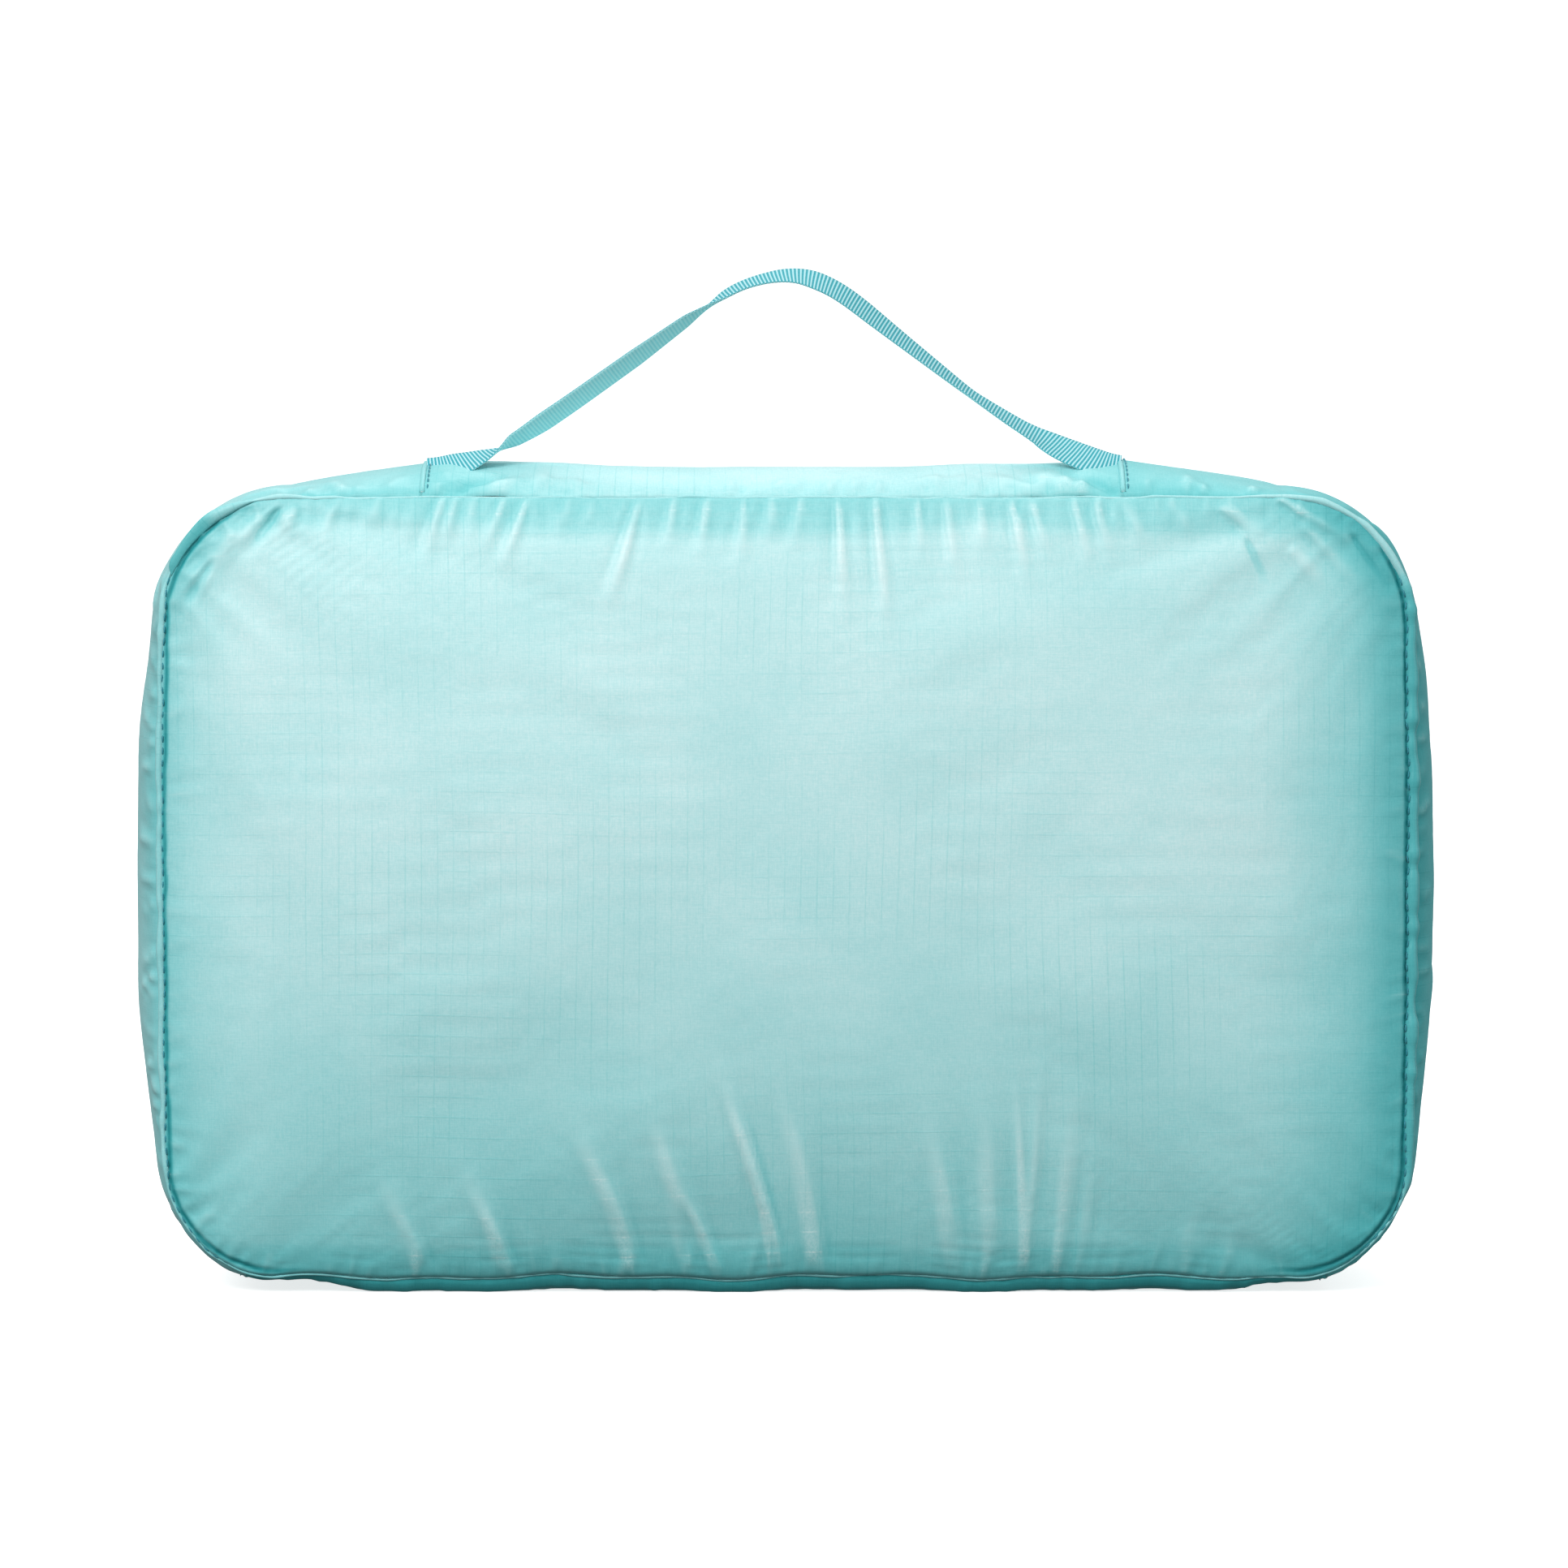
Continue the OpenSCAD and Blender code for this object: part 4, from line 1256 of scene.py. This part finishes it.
def handle_piece():
    """The webbing strap: its line first, then its tilt, then a ribbed cross-section swept along it."""
    x = np.linspace(HANDLE_LEFT + 0.2 * MM, HANDLE_RIGHT - 0.2 * MM, 4000)
    arch = np.array(ARCH, float) * MM
    z = np.interp(x, arch[:, 0], arch[:, 1] + SEAM_HIGH)
    reach = 210
    soften = np.hanning(2 * reach) / np.hanning(2 * reach).sum()
    z = np.convolve(np.pad(z, reach, mode="edge"), soften, mode="same")[reach:-reach]
    ends = ramp_up(abs(x + 2 * MM), 56, 16)
    y = HANDLE_Y + 1.2 * MM * np.sin(x / (22 * MM)) * (1 - ends) - 2.6 * MM * ends
    line = np.stack([x, y, z], 1)
    s = arc_lengths(line)
    steps = int(s[-1] / RIB) * STEPS_PER_RIB
    at = np.linspace(0, s[-1], steps)
    path = read_along(at, s, line)
    tilts = np.array(TILT, float)
    angle = np.radians(np.interp(path[:, 0] / MM, tilts[:, 0], tilts[:, 1]))
    angle = smoothed(angle, 18)
    up = np.stack([np.zeros(steps), -np.sin(angle), np.cos(angle)], 1)
    w = np.linspace(-1, 1, 15)
    crest = 0.5 + 0.5 * np.cos(2 * math.pi * at / RIB)[:, None]
    thick = WEB_T / 2 * (0.35 + 0.65 * (1 - abs(w[None]) ** 6))
    top = thick * (0.72 + 0.20 * crest)
    low = -thick * (0.66 + 0.06 * crest)
    half = WEB_W / 2 * (1 - 0.012 * crest)
    side = np.concatenate([w[None] * half, w[None, ::-1] * half], 1)
    curl = CURL * (w[None] ** 2 - 0.5)
    rise = np.concatenate([top + curl, (low + curl)[:, ::-1]], 1)
    profile = np.stack([side, rise], -1)[:, ::-1]
    obj = sweep("handle_webbing", path, up, profile)
    crests = np.repeat(crest, len(w), 1)
    # Rib crests for the webbing's painted highlights and shade: 0 to 1 on the outer face, below 0 on the
    # inner face.
    tone = np.concatenate([crests, 0.3 * crests - 0.6], 1)[:, ::-1]
    layer = obj.data.attributes["cloth"].data
    values = np.empty(len(layer) * 3, np.float32)
    layer.foreach_get("vector", values)
    values[2:3 * tone.size:3] = tone.ravel()
    layer.foreach_set("vector", values)
    finish_piece(obj, WEBBING, "webbing", None, "handle_loop", "handle_end_left", "handle_end_right")
    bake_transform(obj)


# ---------------------------------------------------------------- label
def care_label():
    """A blank satin label, sewn in at one end, whose free end curls."""
    low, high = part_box("care_label")
    u, v = np.meshgrid(np.linspace(0, 1, 41), np.linspace(0, 1, 25), indexing="ij")
    curl = 2.2 * MM * u**2 * np.sin(1.5 * u + 0.6 * v) + 0.3 * MM * np.sin(5 * v) * u
    x, z = low[0] + (high[0] - low[0]) * u, low[2] + (high[2] - low[2]) * v
    points = np.stack([x, high[1] + curl, z], -1)
    cloth = np.stack([x, z, np.full(u.shape, 10 * MM)], -1)
    obj = cloth_shell("care_label_ribbon", points, cloth, flip=True, thickness=0.2 * MM)
    finish_piece(obj, LABEL, "label", "body", "care_label")


# ---------------------------------------------------------------- build
def build():
    """All pieces of the packing cube."""
    panel_piece("back_panel_cloth", BACK, 11, True, "body", "back_panel")
    lid = panel_piece("lid_panel_cloth", LID, 23, False, "lid", "lid_panel")
    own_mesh(lid)
    # The gussets are one cloth; their different depths of colour are painted shade: deepest on the base
    # underneath, deep on the right side away from the key light, and palest on the top, which faces the
    # light.
    gusset_piece("side_gusset_left_cloth", S_BASE_LEFT, S_HANDLE_LEFT, GUSSET_Y, 41, "side_gusset_left",
                 2.5)
    gusset_piece("side_gusset_right_cloth", S_HANDLE_RIGHT, S_BASE_RIGHT, GUSSET_Y, 42, "side_gusset_right",
                 2.7, sides=2.3, material=RIPSTOP_SHADED)
    gusset_piece("top_gusset_cloth", S_HANDLE_LEFT, S_HANDLE_RIGHT, GUSSET_Y, 43, "top_gusset",
                 1.3, ends=1.3, material=RIPSTOP_SHADED, creases=TOP_CREASES)
    gusset_piece("base_gusset_cloth", S_BASE_RIGHT, S_BASE_LEFT + LENGTH, HALF_D, 44, "base_gusset",
                 5.2, material=RIPSTOP_SHADED)
    seam_roll("back_seam_roll", BACK, "body")
    seam_roll("lid_seam_roll", LID, "lid")
    corner_fold()
    binding_ring("back_binding", BACK, "body", "back_seam_binding")
    binding_ring("lid_binding", LID, "lid", "lid_seam_binding")
    for place, end, s in (("cross", "left", S_HANDLE_LEFT), ("cross", "right", S_HANDLE_RIGHT),
                          ("corner", "left", S_BASE_LEFT), ("corner", "right", S_BASE_RIGHT)):
        node = f"{place}_seam_binding_{end}"
        cross_binding(node + "_tape", s, node)
        cross_seam(f"{place}_seam_{end}_fold", s, place == "cross")
    base_binding()
    zip_band("body_zip_tape_woven", "body_zip_tape", "body", 70)
    zip_band("lid_zip_tape_woven", "lid_zip_tape", "lid", 71)
    coil_row("body_zip_coil_loops", "body_zip_coil", "body", 1, 0.0)
    coil_row("lid_zip_coil_loops", "lid_zip_coil", "lid", -1, 0.5)
    for end in ("left", "right"):
        end_stop("zip_stop_" + end, "zip_end_stop_" + end)
    handle_piece()
    care_label()
    for node in ("slider_left", "slider_right", "pull_left", "pull_right"):
        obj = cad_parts[node]
        obj.data.materials.clear()
        obj.data.materials.append(METAL)


# ---------------------------------------------------------------- studio
# The width that the camera sees at the point that it looks at, and its place and sensor.
VIEW_WIDTH = 338.9 * MM
CAMERA_DISTANCE = 1.7
CAMERA_ELEVATION = math.radians(3.25)
LOOK_AT = (-0.35 * MM, -8 * MM, 108.0 * MM)
SENSOR = 36.0
# Strength of the dome's light from below and from above.
GROUND_LIGHT, SKY_LIGHT = 0.15, 0.7


def camera():
    """A long lens a little above the middle of the cube, level across."""
    data = bpy.data.cameras.new("camera")
    data.sensor_width = SENSOR
    data.lens = SENSOR * CAMERA_DISTANCE / VIEW_WIDTH
    data.clip_start = 0.05
    cam = bpy.data.objects.new("camera", data)
    bpy.context.scene.collection.objects.link(cam)
    c, s = math.cos(CAMERA_ELEVATION), math.sin(CAMERA_ELEVATION)
    cam.location = (LOOK_AT[0], LOOK_AT[1] - CAMERA_DISTANCE * c, LOOK_AT[2] + CAMERA_DISTANCE * s)
    cam.rotation_euler = (math.pi / 2 - CAMERA_ELEVATION, 0, 0)
    bpy.context.scene.camera = cam


def area_light(name, place, target, size, power):
    """A soft square light aimed at a target."""
    data = bpy.data.lights.new(name, "AREA")
    data.shape = "SQUARE"
    data.size = size
    data.energy = power
    light = bpy.data.objects.new(name, data)
    light.location = place
    light.rotation_euler = (Vector(target) - Vector(place)).to_track_quat("-Z", "Y").to_euler()
    bpy.context.scene.collection.objects.link(light)


def backdrop():
    """A pale floor that runs on into a wide curve behind and beside the object."""
    floor_r, rise, wall = 2.4, 1.2, 3.0
    flat = np.linspace(0.4, floor_r, 5)
    a = np.linspace(0, math.pi / 2, 17)[1:]
    r = np.concatenate([[0], flat, floor_r + rise * np.sin(a), [floor_r + rise]])
    z = np.concatenate([[0], 0 * flat, rise * (1 - np.cos(a)), [wall]])
    turn = np.linspace(0, 2 * math.pi, 65)
    points = np.stack([r[:, None] * np.cos(turn), r[:, None] * np.sin(turn), z[:, None] + 0 * turn], -1)
    obj = make_object("floor", points, grid_faces(len(r), len(turn)))
    merge_close(obj)
    n = Nodes("floor")
    n.set(Roughness=0.9)
    n.shader.inputs["Base Color"].default_value = (0.7, 0.7, 0.7, 1)
    n.shader.inputs["Emission Color"].default_value = (1, 1, 1, 1)
    n.shader.inputs["Emission Strength"].default_value = 0.75
    obj.data.materials.append(n.material)
    obj.visible_diffuse = obj.visible_glossy = obj.visible_shadow = False


def studio():
    """Soft light from a pale dome and three area lights, over a pale floor."""
    scene = bpy.context.scene
    scene.view_settings.view_transform = "Standard"
    world = bpy.data.worlds.new("studio")
    world.use_nodes = True
    tree = world.node_tree
    up = tree.nodes.new("ShaderNodeSeparateXYZ")
    tree.links.new(tree.nodes.new("ShaderNodeTexCoord").outputs["Generated"], up.inputs[0])
    dome = tree.nodes.new("ShaderNodeMapRange")
    settings = {"From Min": -0.3, "From Max": 0.5, "To Min": GROUND_LIGHT, "To Max": SKY_LIGHT}
    for key, value in settings.items():
        dome.inputs[key].default_value = value
    tree.links.new(up.outputs[2], dome.inputs["Value"])
    tree.links.new(dome.outputs[0], tree.nodes["Background"].inputs["Strength"])
    tree.nodes["Background"].inputs["Color"].default_value = (1, 1, 1, 1)
    scene.world = world
    backdrop()
    area_light("key", (-0.6, -1.25, 1.0), (0, 0, 0.1), 0.7, 17.5)
    area_light("behind", (0.1, 0.9, 1.5), (0, 0, 0.1), 0.8, 6.5)
    area_light("side", (1.5, -0.5, 0.25), (0.1, 0, 0.08), 0.5, 3.2)


camera()
build()
studio()
